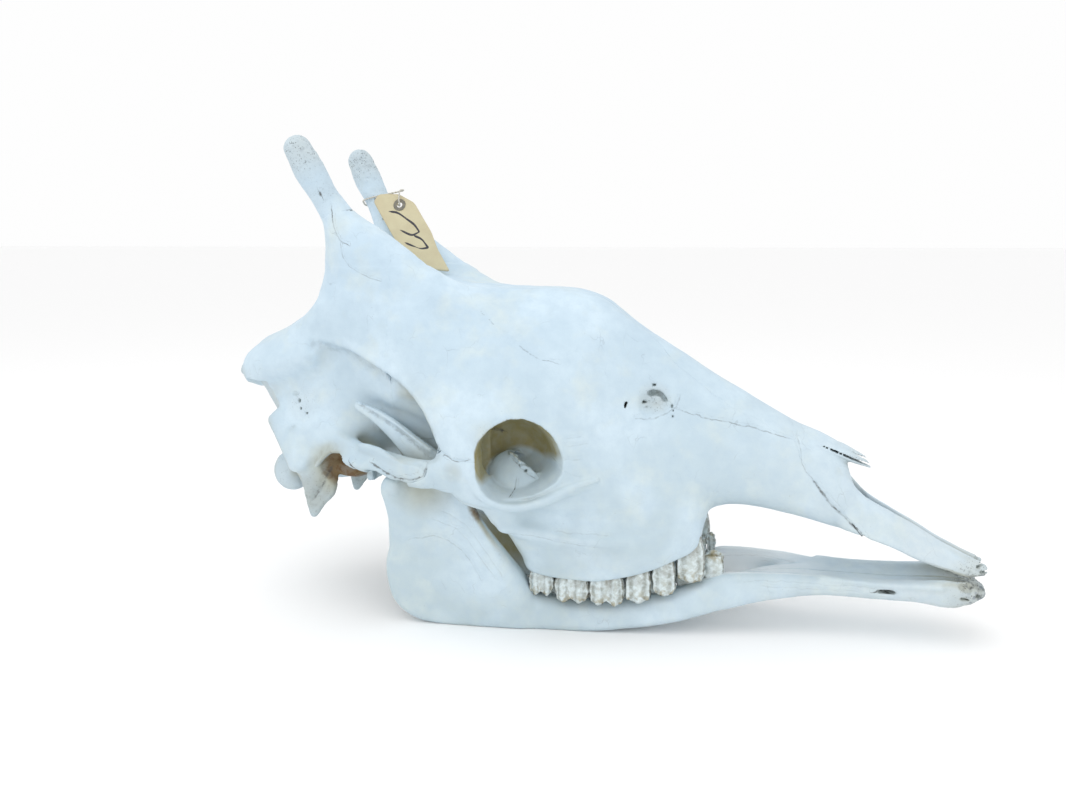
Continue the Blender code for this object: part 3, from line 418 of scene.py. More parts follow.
def off_segment(x, z, start, end):
    """How far places in x and z are from the straight line between two others."""
    (x0, z0), (x1, z1) = start, end
    dx, dz = x1 - x0, z1 - z0
    share = np.clip(((x - x0) * dx + (z - z0) * dz) / (dx * dx + dz * dz), 0, 1)
    return np.hypot(x - x0 - share * dx, z - z0 - share * dz)


class Outline:
    """A region inside an outline in x and z, whatever the side. Its edge wavers as a suture does."""

    def __init__(self, points, waver=0.0, size=8.0):
        self.points, self.waver, self.size = np.array(points, float), waver, size

    def distance(self, axes):
        x, z = np.meshgrid(axes[0], axes[2], indexing="ij")
        near = np.full(x.shape, 1e9)
        inside = np.zeros(x.shape, bool)
        for (x0, z0), (x1, z1) in zip(self.points, np.roll(self.points, -1, 0)):
            near = np.minimum(near, off_segment(x, z, (x0, z0), (x1, z1)))
            if z0 != z1:
                inside ^= ((z0 > z) != (z1 > z)) & (x < (x1 - x0) * (z - z0) / (z1 - z0) + x0)
        found = np.where(inside, -near, near)
        if self.waver:
            found = found + wavering(self.waver, self.size, x, 5.0, z)
        return found[:, None, :]


class Bed:
    """What lies over a trough along x, given as x, half-width and floor: the bed of the nasal bones."""

    def __init__(self, stations, waver=0.0):
        self.table = np.array(stations, float)
        self.waver = waver

    def distance(self, axes):
        x, side, z = axes
        half, floor = monotone_cubic(self.table[:, 0], self.table[:, 1:], x).T
        half = half + wavering(self.waver, 5.0, x, 0.0, 0.0)
        flank = side[None, :, None] - half[:, None, None]
        below = floor[:, None, None] - z[None, None, :]
        ends = np.maximum(self.table[0, 0] - x, x - self.table[-1, 0])[:, None, None]
        return np.maximum(np.maximum(flank, below), ends)


class Beyond:
    """What lies past a plane across x and z, in the direction it is given. The plane wavers."""

    def __init__(self, foot, toward, waver=0.0, size=9.0):
        self.foot, self.toward = np.array(foot, float), np.array(toward, float)
        self.toward /= np.linalg.norm(self.toward)
        self.waver, self.size = waver, size

    def distance(self, axes):
        x, z = np.meshgrid(axes[0], axes[2], indexing="ij")
        found = -((x - self.foot[0]) * self.toward[0] + (z - self.foot[1]) * self.toward[1])
        return (found + wavering(self.waver, self.size, x, 0.0, z))[:, None, :]


class Facet:
    """What lies past a plane, from a foot on it in the direction it faces, within a box."""

    def __init__(self, foot, facing, low, high):
        self.foot, self.facing = np.array(foot, float), np.array(facing, float)
        self.facing /= np.linalg.norm(self.facing)
        self.low, self.high = np.array(low, float), np.array(high, float)

    def distance(self, axes):
        found = -sum(np.ix_(*((axis - f) * n for axis, f, n in zip(axes, self.foot, self.facing))))
        box = zip(axes, self.low, self.high)
        for edge in np.ix_(*(np.maximum(low - axis, axis - high) for axis, low, high in box)):
            found = np.maximum(found, edge)
        return found.astype(np.float32)


class Slab:
    """What lies inside an outline in x and z between two sides."""

    def __init__(self, points, near, far, waver=0.0):
        self.outline, self.near, self.far = Outline(points, waver), near, far
        x, z = self.outline.points.T
        self.low, self.high = np.array((x.min(), near, z.min())), np.array((x.max(), far, z.max()))

    def distance(self, axes):
        flank = np.maximum(self.near - axes[1], axes[1] - self.far)[None, :, None]
        return np.maximum(self.outline.distance(axes), flank).astype(np.float32)


def run(points):
    """The length so far at each of some points along a path."""
    return np.concatenate([[0], np.cumsum(np.linalg.norm(np.diff(points, axis=0), axis=1))])


def curved(points, count, passes):
    """A closed outline through the points, met at even steps, its corners rounded by averaging."""
    ring = np.array([*points, points[0]], float)
    length = run(ring)
    at = np.linspace(0, length[-1], count, endpoint=False)
    found = np.stack([np.interp(at, length, ring[:, k]) for k in (0, 1)], 1)
    for _ in range(passes):
        found = (np.roll(found, 1, 0) + 2 * found + np.roll(found, -1, 0)) / 4
    return found


def smooth_path(points, count):
    """A curve through the points at even steps: monotone cubics against the length so far."""
    length = run(np.array(points, float))
    return monotone_cubic(length, points, np.linspace(0, length[-1], count))


class Plate:
    """A thin plate inside an outline in x and z. Its middle lies at a side that changes evenly with x
    and z from a foot, which is given as x, side and z."""

    def __init__(self, points, foot, lean, half, edge=2.0, passes=2):
        self.outline = Outline(curved(points, 64, passes))
        self.foot, self.lean, self.half, self.edge = foot, lean, half, edge
        x, z = self.outline.points.T
        side = foot[1] + lean[0] * (x - foot[0]) + lean[1] * (z - foot[2])
        self.low = np.array((x.min(), side.min() - half, z.min()))
        self.high = np.array((x.max(), side.max() + half, z.max()))

    def distance(self, axes):
        x, side, z = axes
        middle = self.foot[1] + self.lean[0] * (x - self.foot[0])[:, None]
        middle = middle + self.lean[1] * (z - self.foot[2])[None, :]
        steep = math.sqrt(1 + self.lean[0] ** 2 + self.lean[1] ** 2)
        flank = (np.abs(side[None, :, None] - middle[:, None, :]) - self.half) / steep
        return smooth_max(flank, self.outline.distance(axes) + 0 * flank, self.edge).astype(np.float32)


class Tunnel:
    """A hollow that runs inward from an outline in x and z. Each level gives a side, how far the outline
    has moved along x and z there, and its size in x and in z against the mouth's."""

    def __init__(self, points, levels, waver=0.0, size=6.0):
        self.points = curved(points, 60, 2)
        self.levels = np.array(levels, float)
        self.waver, self.size = waver, size
        (x, z), side = self.points.T, self.levels[:, 0]
        self.low = np.array((x.min() - 20, side.min(), z.min() - 8))
        self.high = np.array((x.max() + 12, side.max(), z.max() + 8))

    def distance(self, axes):
        x, side, z = axes
        order = np.argsort(self.levels[:, 0])
        moved = monotone_cubic(self.levels[order, 0], self.levels[order, 1:], side)
        middle = self.points.mean(0)
        found = np.empty([len(axis) for axis in axes], np.float32)
        outline = Outline(self.points, self.waver, self.size)
        for j, (dx, dz, wide, tall) in enumerate(moved):
            over = middle[0] + (x - middle[0] - dx) / wide
            up = middle[1] + (z - middle[1] - dz) / tall
            found[:, j] = outline.distance([over, side[:1], up])[:, 0] * min(wide, tall)
        return np.maximum(found, (self.low[1] - side)[None, :, None])


class Shell:
    """A hollow ball's wall, broken open beyond a wavering plane across x and z."""

    def __init__(self, centre, radii, wall, beyond):
        self.outer, self.inner = Ball(centre, radii), Ball(centre, np.subtract(radii, wall))
        self.beyond = beyond
        self.low, self.high = self.outer.low, self.outer.high

    def distance(self, axes):
        hollow = np.maximum(self.outer.distance(axes), -self.inner.distance(axes))
        return np.maximum(hollow, -self.beyond.distance(axes)).astype(np.float32)


class Within:
    """A shape kept to a room, whose walls it may enter by a margin."""

    def __init__(self, shape, room, margin):
        self.shape, self.room, self.margin = shape, room, margin
        self.low, self.high = shape.low, shape.high

    def distance(self, axes):
        return np.maximum(self.shape.distance(axes), self.room.distance(axes) - self.margin)


class Slits:
    """Narrow breaks that run inward: each is a path of x and z at a side, with its half-width and its
    depth to each side. Their edges waver."""

    def __init__(self, paths, waver=0.0, size=3.0):
        self.waver, self.size = waver, size
        self.bars = [Bar([(x, side, z, deep, half) for x, z in points]) for side, deep, half, points in paths]
        self.low = np.min([bar.low for bar in self.bars], 0)
        self.high = np.max([bar.high for bar in self.bars], 0)

    def distance(self, axes):
        found = self.bars[0].distance(axes)
        for bar in self.bars[1:]:
            found = np.minimum(found, bar.distance(axes))
        if self.waver:
            found = found + wavering(self.waver, self.size, *np.ix_(*axes))
        return found.astype(np.float32)


# Upper skull: x, bottom, top, then half-widths at six levels from bottom to top.
HEAD = [
    (-324.3, 190, 207, 6, 12, 15, 15, 12, 8), (-312, 184, 217, 13, 19, 21, 20, 17, 11),
    (-295, 184, 229, 32, 37, 38, 36, 31, 22), (-270, 194, 240, 45, 49, 49, 46, 40, 28),
    (-240, 211, 256, 48, 53, 55, 55, 52, 42), (-210, 221, 278, 57, 62, 65, 67, 66, 58),
    (-180, 216, 288, 66, 70, 72, 72, 69, 60), (-150, 203, 289, 79, 80, 79, 76, 70, 56),
    (-122, 184, 284, 92, 91, 87, 80, 70, 50), (-104, 156, 280, 106, 102, 94, 83, 68, 46),
    (-88, 116, 279, 107, 109, 104, 92, 72, 44), (-66, 102, 277, 98, 112, 111, 99, 75, 40),
    (-52, 74, 277, 74, 102, 110, 99, 74, 37), (-42, 53, 277, 62, 90, 106, 98, 73, 35),
    (-15, 46, 276, 66, 83, 96, 88, 65, 32), (10, 46, 270, 67, 76, 82, 75, 56, 28),
    (43, 51, 247, 63, 68, 68, 59, 43, 23), (66, 58, 233, 58, 63, 61, 51, 36, 18),
    (86, 68, 221, 53, 57, 54, 46, 32, 16), (98, 80, 213, 47, 52, 49, 42, 30, 15),
    (105, 100, 209, 41, 46, 44, 39, 28, 15), (126, 105, 197, 35, 38, 38, 34, 26, 15),
    (169, 98.5, 172, 30, 33, 33, 30, 25, 16), (212, 87.5, 150, 27, 29, 29, 26, 21, 15),
    (221, 85.5, 127, 26, 28, 28, 26, 22, 17), (231, 82.5, 110, 25, 27, 27, 25, 22, 17),
]
BRAINCASE = [
    (-294, 130, 204, 14, 16, 18, 22, 26, 22), (-280, 122, 214, 26, 31, 34, 34, 31, 24),
    (-262, 116, 226, 36, 46, 50, 47, 42, 34), (-240, 118, 238, 46, 60, 58, 52, 47, 40),
    (-212, 124, 248, 46, 58, 55, 52, 51, 44), (-180, 126, 255, 34, 49, 55, 58, 61, 54),
    (-140, 122, 250, 25, 37, 49, 59, 66, 58), (-105, 112, 240, 22, 31, 43, 56, 68, 60),
    (-75, 100, 230, 22, 28, 36, 48, 60, 54),
]
# Where the braincase ends at the rear, as z and x.
BRAINCASE_REAR = [
    (118, -268), (128, -271), (140, -273), (153, -276), (168, -282), (178, -289), (190, -295), (210, -301),
]
# A station of a bar is x, side, z, the half-thickness across the middle plane and the other one.
OSSICONE = [
    (-227, 62, 388, 10.6, 11), (-218.5, 60, 371, 12, 12.4), (-208, 57, 351.5, 10.8, 11.2),
    (-198.5, 54, 335, 12.5, 12.8), (-190, 51, 318, 17, 20.5), (-181.5, 48, 300, 23, 31.5),
    (-174, 45, 281, 26, 41),
]
FRONTAL_RIDGE = [
    (-174, 50, 304, 12, 14), (-148, 51, 293.5, 13, 13), (-118, 52, 277, 14, 13), (-86, 50, 257, 12, 12),
    (-56, 50, 238, 8, 8),
]
ARCH_MIDDLE = [
    (-226, 54, 51), (-208, 58, 54), (-188, 66, 62), (-168, 75, 71), (-145, 87, 82), (-122, 96, 92),
    (-104, 101, 98),
]
ARCH_ROOT = [
    (-226, 138, 164, 2, 3, 2), (-208, 135, 158, 4, 6, 5), (-188, 132, 153, 5.5, 7.5, 6),
    (-168, 131, 148, 5, 6.5, 5), (-145, 126, 147, 4.5, 6, 5), (-122, 126, 146, 4, 5.5, 4.5),
    (-104, 132, 147, 3, 4, 3),
]
JUGAL = [
    (-128, 92, 126, 3, 4), (-112, 98, 130, 4, 7), (-93, 103, 138, 5, 10), (-74, 105, 130, 5, 12),
    (-56, 101, 122, 6, 10),
]
GLENOID = [(-196, 52, 136, 20, 7), (-160, 72, 135, 20, 6)]
ORBIT_WINDOW = [(-58, 70, 152, 12, 22), (-100, 72, 156, 14, 26), (-140, 76, 160, 16, 30)]
JAW_WINDOW = [(-132, 77, 138, 13, 18), (-102, 76, 130, 13, 17), (-86, 72, 118, 13, 14)]
RIM = [
    (-71, 108, 152, 3, 3), (-70, 110, 138, 3.2, 3.2), (-61, 111, 123, 3.2, 3.2), (-38, 108, 115, 3.2, 3.2),
    (-16, 100, 119, 3.2, 3.2), (2, 88, 126, 3.2, 3.2), (16, 76, 131, 2.5, 2.5),
]
FACIAL_CREST = [(-56, 85, 102, 4, 6), (-24, 77, 87, 3, 4), (14, 70, 79, 3, 3), (48, 62, 78, 3, 3)]
CONDYLE = ((-263, 26, 112), (17, 13, 18))
BASIOCCIPITAL = [
    (-278, 0, 112, 22, 9), (-240, 0, 110, 20, 9), (-180, 0, 117, 15, 8), (-120, 0, 118, 14, 10),
]
BULLA = ((-198, 39, 124), (20, 12, 10.5))
PAROCCIPITAL_MIDDLE = [(-247, 46, 52), (-208, 46, 52)]
PAROCCIPITAL = [
    (-248, 116, 134, 3, 5, 6), (-243, 103, 134, 3, 5, 6), (-239.5, 88, 134, 2.5, 4.5, 6),
    (-236.5, 77, 134, 2.5, 4.5, 6), (-233, 76, 134, 2.5, 4.5, 6), (-229, 80, 134, 2.5, 4.5, 5.5),
    (-222, 89, 134, 2.5, 4, 5), (-214, 97, 132, 3, 3.5, 4), (-209.5, 108, 130, 2, 3, 3),
]
MASTOID = [(-262, 50, 164, 7, 9), (-248, 56, 144, 8, 10), (-240, 57, 128, 8, 11)]
EAR_HOLLOW = ((-199, 63, 124), (26, 20, 17))
PTERYGOID = [(-30, 27, 84, 5, 18), (-66, 25, 92, 4, 18), (-104, 22, 108, 4, 12), (-128, 20, 116, 5, 8)]
NECK_HOLE = [(-310, 0, 126, 17, 17), (-262, 0, 134, 17, 17)]
NOSE = [
    (84, 132, 176, 6, 12, 13, 8), (126, 117, 184, 18, 24, 23, 12), (169, 110, 163, 20, 24, 22, 13),
    (206, 98, 147, 20, 22, 20, 12), (216, 95, 145, 19, 18, 15, 12), (224, 93, 147, 18, 12, 9, 8),
    (232, 91, 148, 16, 6, 4, 4), (242, 90, 150, 12, 4, 3, 3),
]
PALATE = [
    (-90, 20, 74, 40, 34, 26), (-34, 20, 66, 42, 38, 26), (40, 20, 66, 42, 38, 24),
    (80, 30, 86, 38, 32, 20), (108, 60, 112, 32, 27, 16), (140, 70, 108, 25, 18, 12),
]
CHOANA = [(-20, 0, 86, 17, 16), (-70, 0, 92, 17, 20), (-112, 0, 96, 15, 18)]
NASAL_TIP = [
    (186, 11, 156.5, 9, 4), (206, 11, 149.5, 9, 4), (219, 10.5, 144, 7, 3.2), (229, 9, 139.8, 3.5, 2),
]
PREMAXILLA = [
    (206, 92, 138, 4, 4.5, 3.5), (229, 84, 114, 5.5, 5, 3.5), (250, 76.5, 102, 6.5, 5, 3.5),
    (266, 68.5, 93, 6.5, 5.5, 4), (288, 61, 80, 7, 6, 4.5), (308, 55.5, 70, 7, 6, 4.5),
    (322.5, 57.5, 64, 5, 5, 4),
]
PREMAXILLA_MIDDLE = [
    (206, 25, 25), (216, 25, 22), (224, 24.5, 16.5), (232, 24, 11), (250, 22, 8), (266, 19, 7),
    (288, 16, 7), (308, 14, 7.5), (322.5, 13, 8),
]
PALATINE_PROCESS = [(176, 6, 105, 5, 4), (230, 6, 89, 4, 4), (262, 7, 74, 4, 4), (292, 11, 64, 5, 4)]

ALVEOLAR = [
    (-43, 54, 80, 4, 6, 6), (-34, 49, 80, 9, 11, 11), (-9, 46, 76, 9.5, 12, 12),
    (15, 45.5, 74, 9.5, 12, 12), (41, 50, 78, 9, 11, 11), (63, 56, 84, 8.5, 10, 10), (82, 65, 92, 8, 9, 9),
    (94, 71, 100, 6.5, 8, 8), (99, 76, 104, 5.5, 7, 7), (103, 91, 107, 3, 4, 4),
]
ALVEOLAR_MIDDLE = [(-43, 55, 56), (15, 57, 57), (41, 55, 55), (63, 51, 52), (82, 47, 48), (103, 42, 42)]

# Lower jaw: the same tables, with the middle line's place at the bottom and at the top beside them.
JAW = [
    (-156, 33, 121, 3, 5, 5, 5, 4), (-150, 20, 125, 5, 6, 5, 5, 5), (-140, 8.5, 127, 6, 7, 5, 5, 5),
    (-123, 1, 134, 7, 7, 5, 4.5, 4.5), (-102, -1.2, 139, 7, 7, 5.5, 4.5, 4),
    (-92, -1.5, 126, 7, 7.5, 6, 5, 4), (-80, -1.5, 107, 7.5, 8, 7, 6, 4.5),
    (-67, -1.5, 85, 8, 9, 8.5, 7.5, 5.5), (-45, -1.5, 50, 9, 11, 12, 11, 9),
    (-30, -1.2, 27, 9, 12, 13, 13, 11), (10, 0, 23, 9, 12, 13, 13, 11), (55, 4.7, 28, 8, 11, 12, 12, 10),
    (83, 10.5, 36, 7.5, 10, 11, 11, 9), (106, 17.5, 46, 7, 9, 10, 9.5, 8), (118, 21, 50, 6.5, 8.5, 9, 8, 6),
    (163, 30.5, 51.5, 6, 7.5, 8, 7, 4.5), (194, 34, 49.5, 6, 7.5, 8, 7, 4.5), (239, 35, 48, 6, 7, 7, 6, 4),
    (290, 36, 50, 4, 5, 5, 5, 4),
]
JAW_REAR = [(30, -156), (52, -155), (68, -151.5), (88, -151.5), (107, -154.5), (120, -158.5)]
JAW_MIDDLE = [
    (-156, 74, 80), (-123, 68, 78), (-80, 64, 76), (-45, 60, 62), (-30, 57, 48), (10, 54, 41), (55, 49, 38),
    (106, 42, 35), (163, 29, 28), (194, 23, 23), (239, 19, 20), (290, 19, 20),
]
SYMPHYSIS = [
    (128, 31, 40, 2, 4, 3), (160, 32, 45, 10, 18, 14), (190, 33.5, 48, 18, 22, 18),
    (216, 35, 48, 22, 24, 20), (239, 35, 48.5, 25, 27, 24), (264, 35, 50, 25, 27, 25),
    (292, 31, 53, 25, 28, 27), (305, 34, 53, 25, 29, 28), (314, 37, 49, 21, 26, 25),
    (320, 39, 46, 15, 20, 19), (323.5, 41, 44.5, 9, 13, 12),
]
TROUGH = [
    (168, 0, 53, 10, 4), (210, 0, 53, 15, 5), (260, 0, 55, 18, 7), (290, 0, 58, 20, 9),
    (335, 0, 58, 22, 10),
]
CORONOID_MIDDLE = [(-184, 66, 66), (-150, 71, 71), (-118, 77, 77), (-104, 78, 78)]
CORONOID = [
    (-184, 179, 184, 1.6, 2, 1.6), (-171, 172, 178.5, 2, 2.4, 2), (-150, 155, 169, 2.4, 2.8, 2.2),
    (-135, 140, 162, 3, 3, 2.4), (-118, 128, 154, 3.5, 3.5, 2.6), (-104, 118, 147, 3.5, 3.5, 2.6),
]
JAW_CONDYLE = [(-144, 66, 119, 4, 5), (-144, 78, 119, 5.5, 6), (-143, 85, 118, 3.5, 4.5)]


# Cheek teeth from back to front: x of the back and of the front, side, gum, tip, half-width, lobes.
UPPER_TEETH = [
    (-36.5, -16.3, 56, 48.5, 31, 8.5, 2), (-15.0, 12.6, 57.5, 45.5, 27.5, 9.5, 2),
    (14.0, 41.4, 57, 46.5, 27.5, 9.5, 2), (42.6, 62.2, 54, 51.5, 30.5, 8.5, 1),
    (63.4, 81.2, 50, 58.5, 36.5, 8, 1), (82.4, 104.0, 44.5, 72, 47, 6.5, 1),
]
LOWER_TEETH = [
    (-37.0, -1.0, 40.5, 23, 41, 6, 3), (0.0, 28.0, 38.5, 22.5, 42, 6.5, 2),
    (29.0, 55.5, 38, 25, 44.5, 6.5, 2), (56.5, 79.5, 35.5, 30, 50, 5.5, 1),
    (80.5, 102.0, 32.5, 38, 59, 5, 1), (103.0, 118.5, 34.5, 46, 66, 4.5, 1),
]
# The left lower row's foremost tooth is broken off short.
LEFT_STUMP = (103.0, 109.5, 33.5, 46, 61, 4.0, 1)
CUSP = 5.0


# Seams between the bones, in x and z, and the nasals' bed as x, half-width and floor.
HORN_CUT = 3
NASAL_BED = [
    (46, 3, 240), (58, 12, 229), (84, 20, 210), (126, 23, 180), (169, 22, 159), (206, 21, 140.5),
    (236, 16, 134),
]
PREMAXILLA_SEAM = [
    (160, 178), (170, 161), (175, 147), (183, 132), (195, 122), (205, 110), (216, 96), (227, 84), (232, 60),
    (345, 40), (345, 178),
]
MAXILLA_SEAM = [
    (52, 265), (34, 214), (20, 178), (12, 142), (4, 112), (-30, 99), (-82, 95), (-82, 15), (345, 15),
    (345, 265),
]
JUGAL_SEAM = [
    (-109.5, 138), (-112, 132), (-123, 127), (-140, 127), (-157, 131.5), (-168, 134), (-168, 100),
    (-30, 84), (24, 100), (24, 128), (2, 138), (-8, 146), (-60, 150), (-75, 150.5), (-85, 150.5),
    (-96, 156), (-104, 150), (-108, 143),
]
FRONTAL_SEAM = [(-150, 440), (-150, 156), (-100, 156), (-96, 60), (100, 60), (100, 440)]

# The tag: its hole's middle and its tip, and its outline as along and across from the hole.
TAG_HOLE = (-178.5, 34.5, 347.0)
TAG_TIP = (-124.0, 16.0, 289.5)
TAG_ACROSS = (0.69, 0.28, 0.66)
TAG_THICKNESS = 1.2
TAG_HOLE_RADIUS = 2.6
TAG_OUTLINE = [
    (81, -2), (79, -4), (52, -28), (26, -23), (-6, -18.5), (-19, -16.5), (-21.5, -9), (-9, 5.5), (7, 11.5),
    (40, 7), (56, 2),
]
EYELET_RADIUS = 5.6
EYELET_THICKNESS = 0.5
STRING_RADIUS = 0.8
STRING_REACH = 12.7
STRING_RISE = 3.0
# The string's way from the horn round the card's edge, over its face, through the hole and back.
STRING_THROUGH = [
    (-11, 8.8, -2.2), (-10.6, 8.4, 0.6), (-7, 5.5, 2.3), (-2.4, 1.8, 2.1), (0, 0, -0.6), (-3, -1, -3.6),
]
STRING_PITCH = 3.4
TAG_BEND = 1.0
NUMBER_STROKES = [
    [(-1.7, -11.2), (4.9, -5.9), (15.7, -2.8), (25.5, -0.8), (32.7, -1.5), (31.5, -6.9), (19.5, -13.8)],
    [(31.8, -7.2), (41.8, -3.6), (49.9, -4.1), (46.9, -9.1), (40.2, -13.4), (31.9, -17.3)],
]


# What the photograph shows beyond the main shapes. The orbit's rim in x and z, and the levels of the
# socket behind it as side, shift in x and z, and size in x and z.
ORBIT_RIM = [
    (-66.7, 160.7), (-66.5, 145), (-65.5, 134.5), (-61.5, 127), (-53.3, 120.8), (-41.6, 118),
    (-30.1, 118.6), (-16.3, 123), (-2, 130), (4, 136.5), (6, 145), (5, 152), (2, 158), (-2, 165.5),
    (-9, 173), (-22.2, 180), (-35.6, 182.3), (-47.7, 181), (-60, 173),
]
ORBIT_LEVELS = [
    (126, 1, 0, 1.03, 1.03), (106, 0, 0, 1.0, 1.0), (95, -3, 1, 0.96, 0.97), (80, -9, 1.5, 0.83, 0.9),
    (64, -13, 2, 0.72, 0.8), (54, -16, 2, 0.6, 0.64), (46, -18, 1, 0.38, 0.4),
]
ORBIT_LIP = [
    (-69.5, 109, 150, 1.7, 1.7), (-68.6, 110, 136, 1.8, 1.8), (-62, 109, 124.3, 2.6, 2.1),
    (-53, 106.5, 118.2, 4, 2.4), (-41, 103, 115.2, 4.6, 2.5), (-29, 100, 115.6, 4.6, 2.5),
    (-15, 96, 120, 4, 2.3), (-2, 91.5, 126.2, 2.6, 2), (12, 85, 131, 1.6, 1.6), (22, 79, 133, 1.2, 1.2),
]
TEAR_BULLA = ((-46, 57, 100), (36, 27, 50), 2.6, ((-47, 146), (0.57, 0.82), 4.0, 5.0))
TEAR_SPLINTERS = [
    (66, 2, 1.0, [(-51, 149), (-45, 145)]), (70, 2, 1.3, [(-46, 145.5), (-38, 140)]),
    (72, 2, 1.0, [(-39, 140.5), (-31, 134.5)]), (72, 2, 0.8, [(-32, 135), (-25, 130)]),
]
# The zygomatic lobe of the squamosal bone, which laps over the jugal bone's thin lower edge.
ZYGOMA_LOBE = [
    (-178, 139), (-172, 134), (-163, 131.5), (-157, 131), (-140, 126.8), (-123, 127), (-112.5, 132),
    (-109.5, 138), (-112, 142.5), (-129.5, 142.6), (-139.5, 146), (-153, 151.5), (-166, 153), (-178, 153),
]
JUGAL_EDGE = [
    (-166, 134), (-160, 131), (-142, 124.4), (-122, 121.6), (-110, 124.5), (-92, 122.5), (-84, 124),
    (-84, 140), (-110, 138), (-142, 136), (-160, 138),
]
EAR_ROOF = [
    (-223, 58, 127, 4, 2), (-216, 59, 134.5, 4, 2), (-208, 60, 140.5, 4, 2), (-196, 62, 141, 4, 2),
    (-186, 65.5, 138, 4, 2), (-177, 69, 132, 4, 2),
]
PAROCCIPITAL_GROOVE = [
    (-215, 57, 123, 4, 3), (-217, 56.5, 118, 4, 3), (-223.5, 55, 106, 4, 2.6), (-233, 53.5, 93, 3, 2),
]
CONDYLE_SLOT = [(-254.5, 46, 131, 9, 1.6), (-252, 45, 118, 9, 2.2), (-246, 46, 107, 9, 2.6)]
CORONOID_EDGE = [
    (-181, 65.5, 183.5, 1.6, 1.2), (-164, 69, 178, 2.2, 1.4), (-147, 72.6, 170.5, 2.6, 1.5),
    (-130, 76, 160.5, 2.6, 1.5), (-113, 79, 150, 2.6, 1.5),
]
CORONOID_BLADE = [
    (-183, 184), (-164, 180), (-147, 172.5), (-130, 162), (-112, 151), (-104, 140), (-104, 116),
    (-132, 116), (-139, 141), (-141.5, 148), (-147, 157), (-155.5, 165), (-166, 171.5), (-179, 180.5),
]
REAR_FILL = [
    (-286, 32, 205, 11, 11), (-272, 42, 207, 12, 12), (-252, 49, 212, 11, 11), (-230, 54, 220, 10, 10),
]
FOSSA_FILL = [
    (-172, 48, 204, 14, 14), (-150, 54, 195, 15, 15), (-130, 61, 185, 15, 14), (-116, 67, 174, 14, 12),
    (-106, 72, 164, 12, 9),
]
FOSSA_FLOOR = [
    (-160, 48, 170, 11, 12), (-146, 53, 166, 11, 12), (-130, 57, 158, 11, 12), (-114, 62, 150, 9, 11),
]
POST_GLENOID = [(-186, 58, 121.5, 7, 6), (-173, 63, 122.5, 6, 5), (-163, 66, 124.5, 5, 4.5)]
FOSSA_HOLE = ((-139.5, 56, 142), (3.5, 12, 3))
LAMBDOID_CREST = [
    (-313, 10, 190, 3, 3), (-301, 18, 187, 3, 3), (-288, 28, 185.5, 3, 3), (-275, 39, 183, 3, 3),
    (-263, 47.5, 178, 3, 3), (-255, 51, 168, 3, 3), (-247.5, 52, 155.5, 3, 3), (-244, 54, 139, 3, 3),
    (-240, 54, 126, 3, 3),
]
TEMPORAL_LINE = [
    (-222, 54, 234, 2, 2), (-199, 61, 232, 2, 2), (-163, 74, 220, 2, 2), (-139, 83, 208, 2, 2),
    (-117, 92, 192.5, 2, 2), (-104.5, 98, 176, 2, 2), (-98.5, 101, 163, 2, 2),
]
CHEEK_RIDGE = [
    (-52, 87, 92, 3, 2.5), (-30, 82, 88.5, 3, 2.5), (-6, 77, 83.5, 3, 2.5), (20, 72, 80, 3, 2),
    (44, 66, 80, 2, 2),
]
CHEEK_HOLLOW = [(-30, 92, 102, 9, 7), (6, 86, 97, 10, 8), (44, 78, 96, 9, 8)]
FACE_DISH = [(58, 47, 189, 8, 9), (68, 45, 189, 8, 7)]
FACE_BREAKS = [
    (40, 9, 2.3, [(57.5, 196), (61.5, 196.6), (65.5, 194.6), (68.5, 191.4)]),
    (42, 8, 1.0, [(51.6, 188.9), (56.5, 189.1)]), (42, 8, 0.8, [(52.1, 185.4), (56.5, 185.4)]),
    (46, 8, 1.0, [(39.6, 190.2), (38.2, 186), (37.6, 182.5)]), (38, 7, 0.8, [(58.8, 202.2), (60.8, 202.2)]),
    (44, 6, 0.6, [(37.8, 180), (42, 179.8)]), (40, 6, 0.6, [(73.9, 186.5), (75.6, 181), (75.2, 178)]),
]
NASAL_SLIT = [
    (192, 13, 155.2, 16, 0.5), (206, 12, 149.8, 16, 0.8), (219, 11, 144.3, 16, 0.9),
    (234, 10, 138.6, 16, 1.1),
]
NASAL_NICKS = [(213, 21, 139.5, 4, 1.6), (224, 16, 137, 4, 1.4)]
JAW_SOCKETS = [
    ((317.5, 6, 49), (7, 3.9, 5.2)), ((316, 14.5, 49), (7, 3.7, 5)), ((311, 21.5, 50.5), (6.5, 3.4, 4.6)),
    ((303, 26.5, 51), (5.5, 3.2, 4.2)),
]
JAW_NICKS = [
    (27, 7, 1.5, [(309, 56), (308, 51)]), (22, 7, 1.3, [(317, 50), (315, 46)]),
    (12, 5, 1.4, [(322, 47), (318.5, 43.5)]), (26, 4, 0.9, [(300, 42), (305, 40.5)]),
    (24, 4, 1.0, [(309, 45), (313, 43)]),
]
SNOUT_NICKS = [(14, 7, 0.9, [(320, 66), (313, 63.5)]), (13, 8, 0.7, [(324, 60.6), (315, 60)])]
MENTAL_HOLE = [
    (238.5, 27.5, 41.4, 2, 0.6), (243, 27.2, 42.3, 5, 1.0), (247, 27, 42.4, 7, 1.4),
    (250.5, 26, 41.8, 6, 1.1),
]
JAW_LINE = [(196, 25, 48.5, 2.5, 1.8), (240, 26.5, 47.5, 2.5, 1.8), (284, 27.5, 49, 2.5, 1.8)]
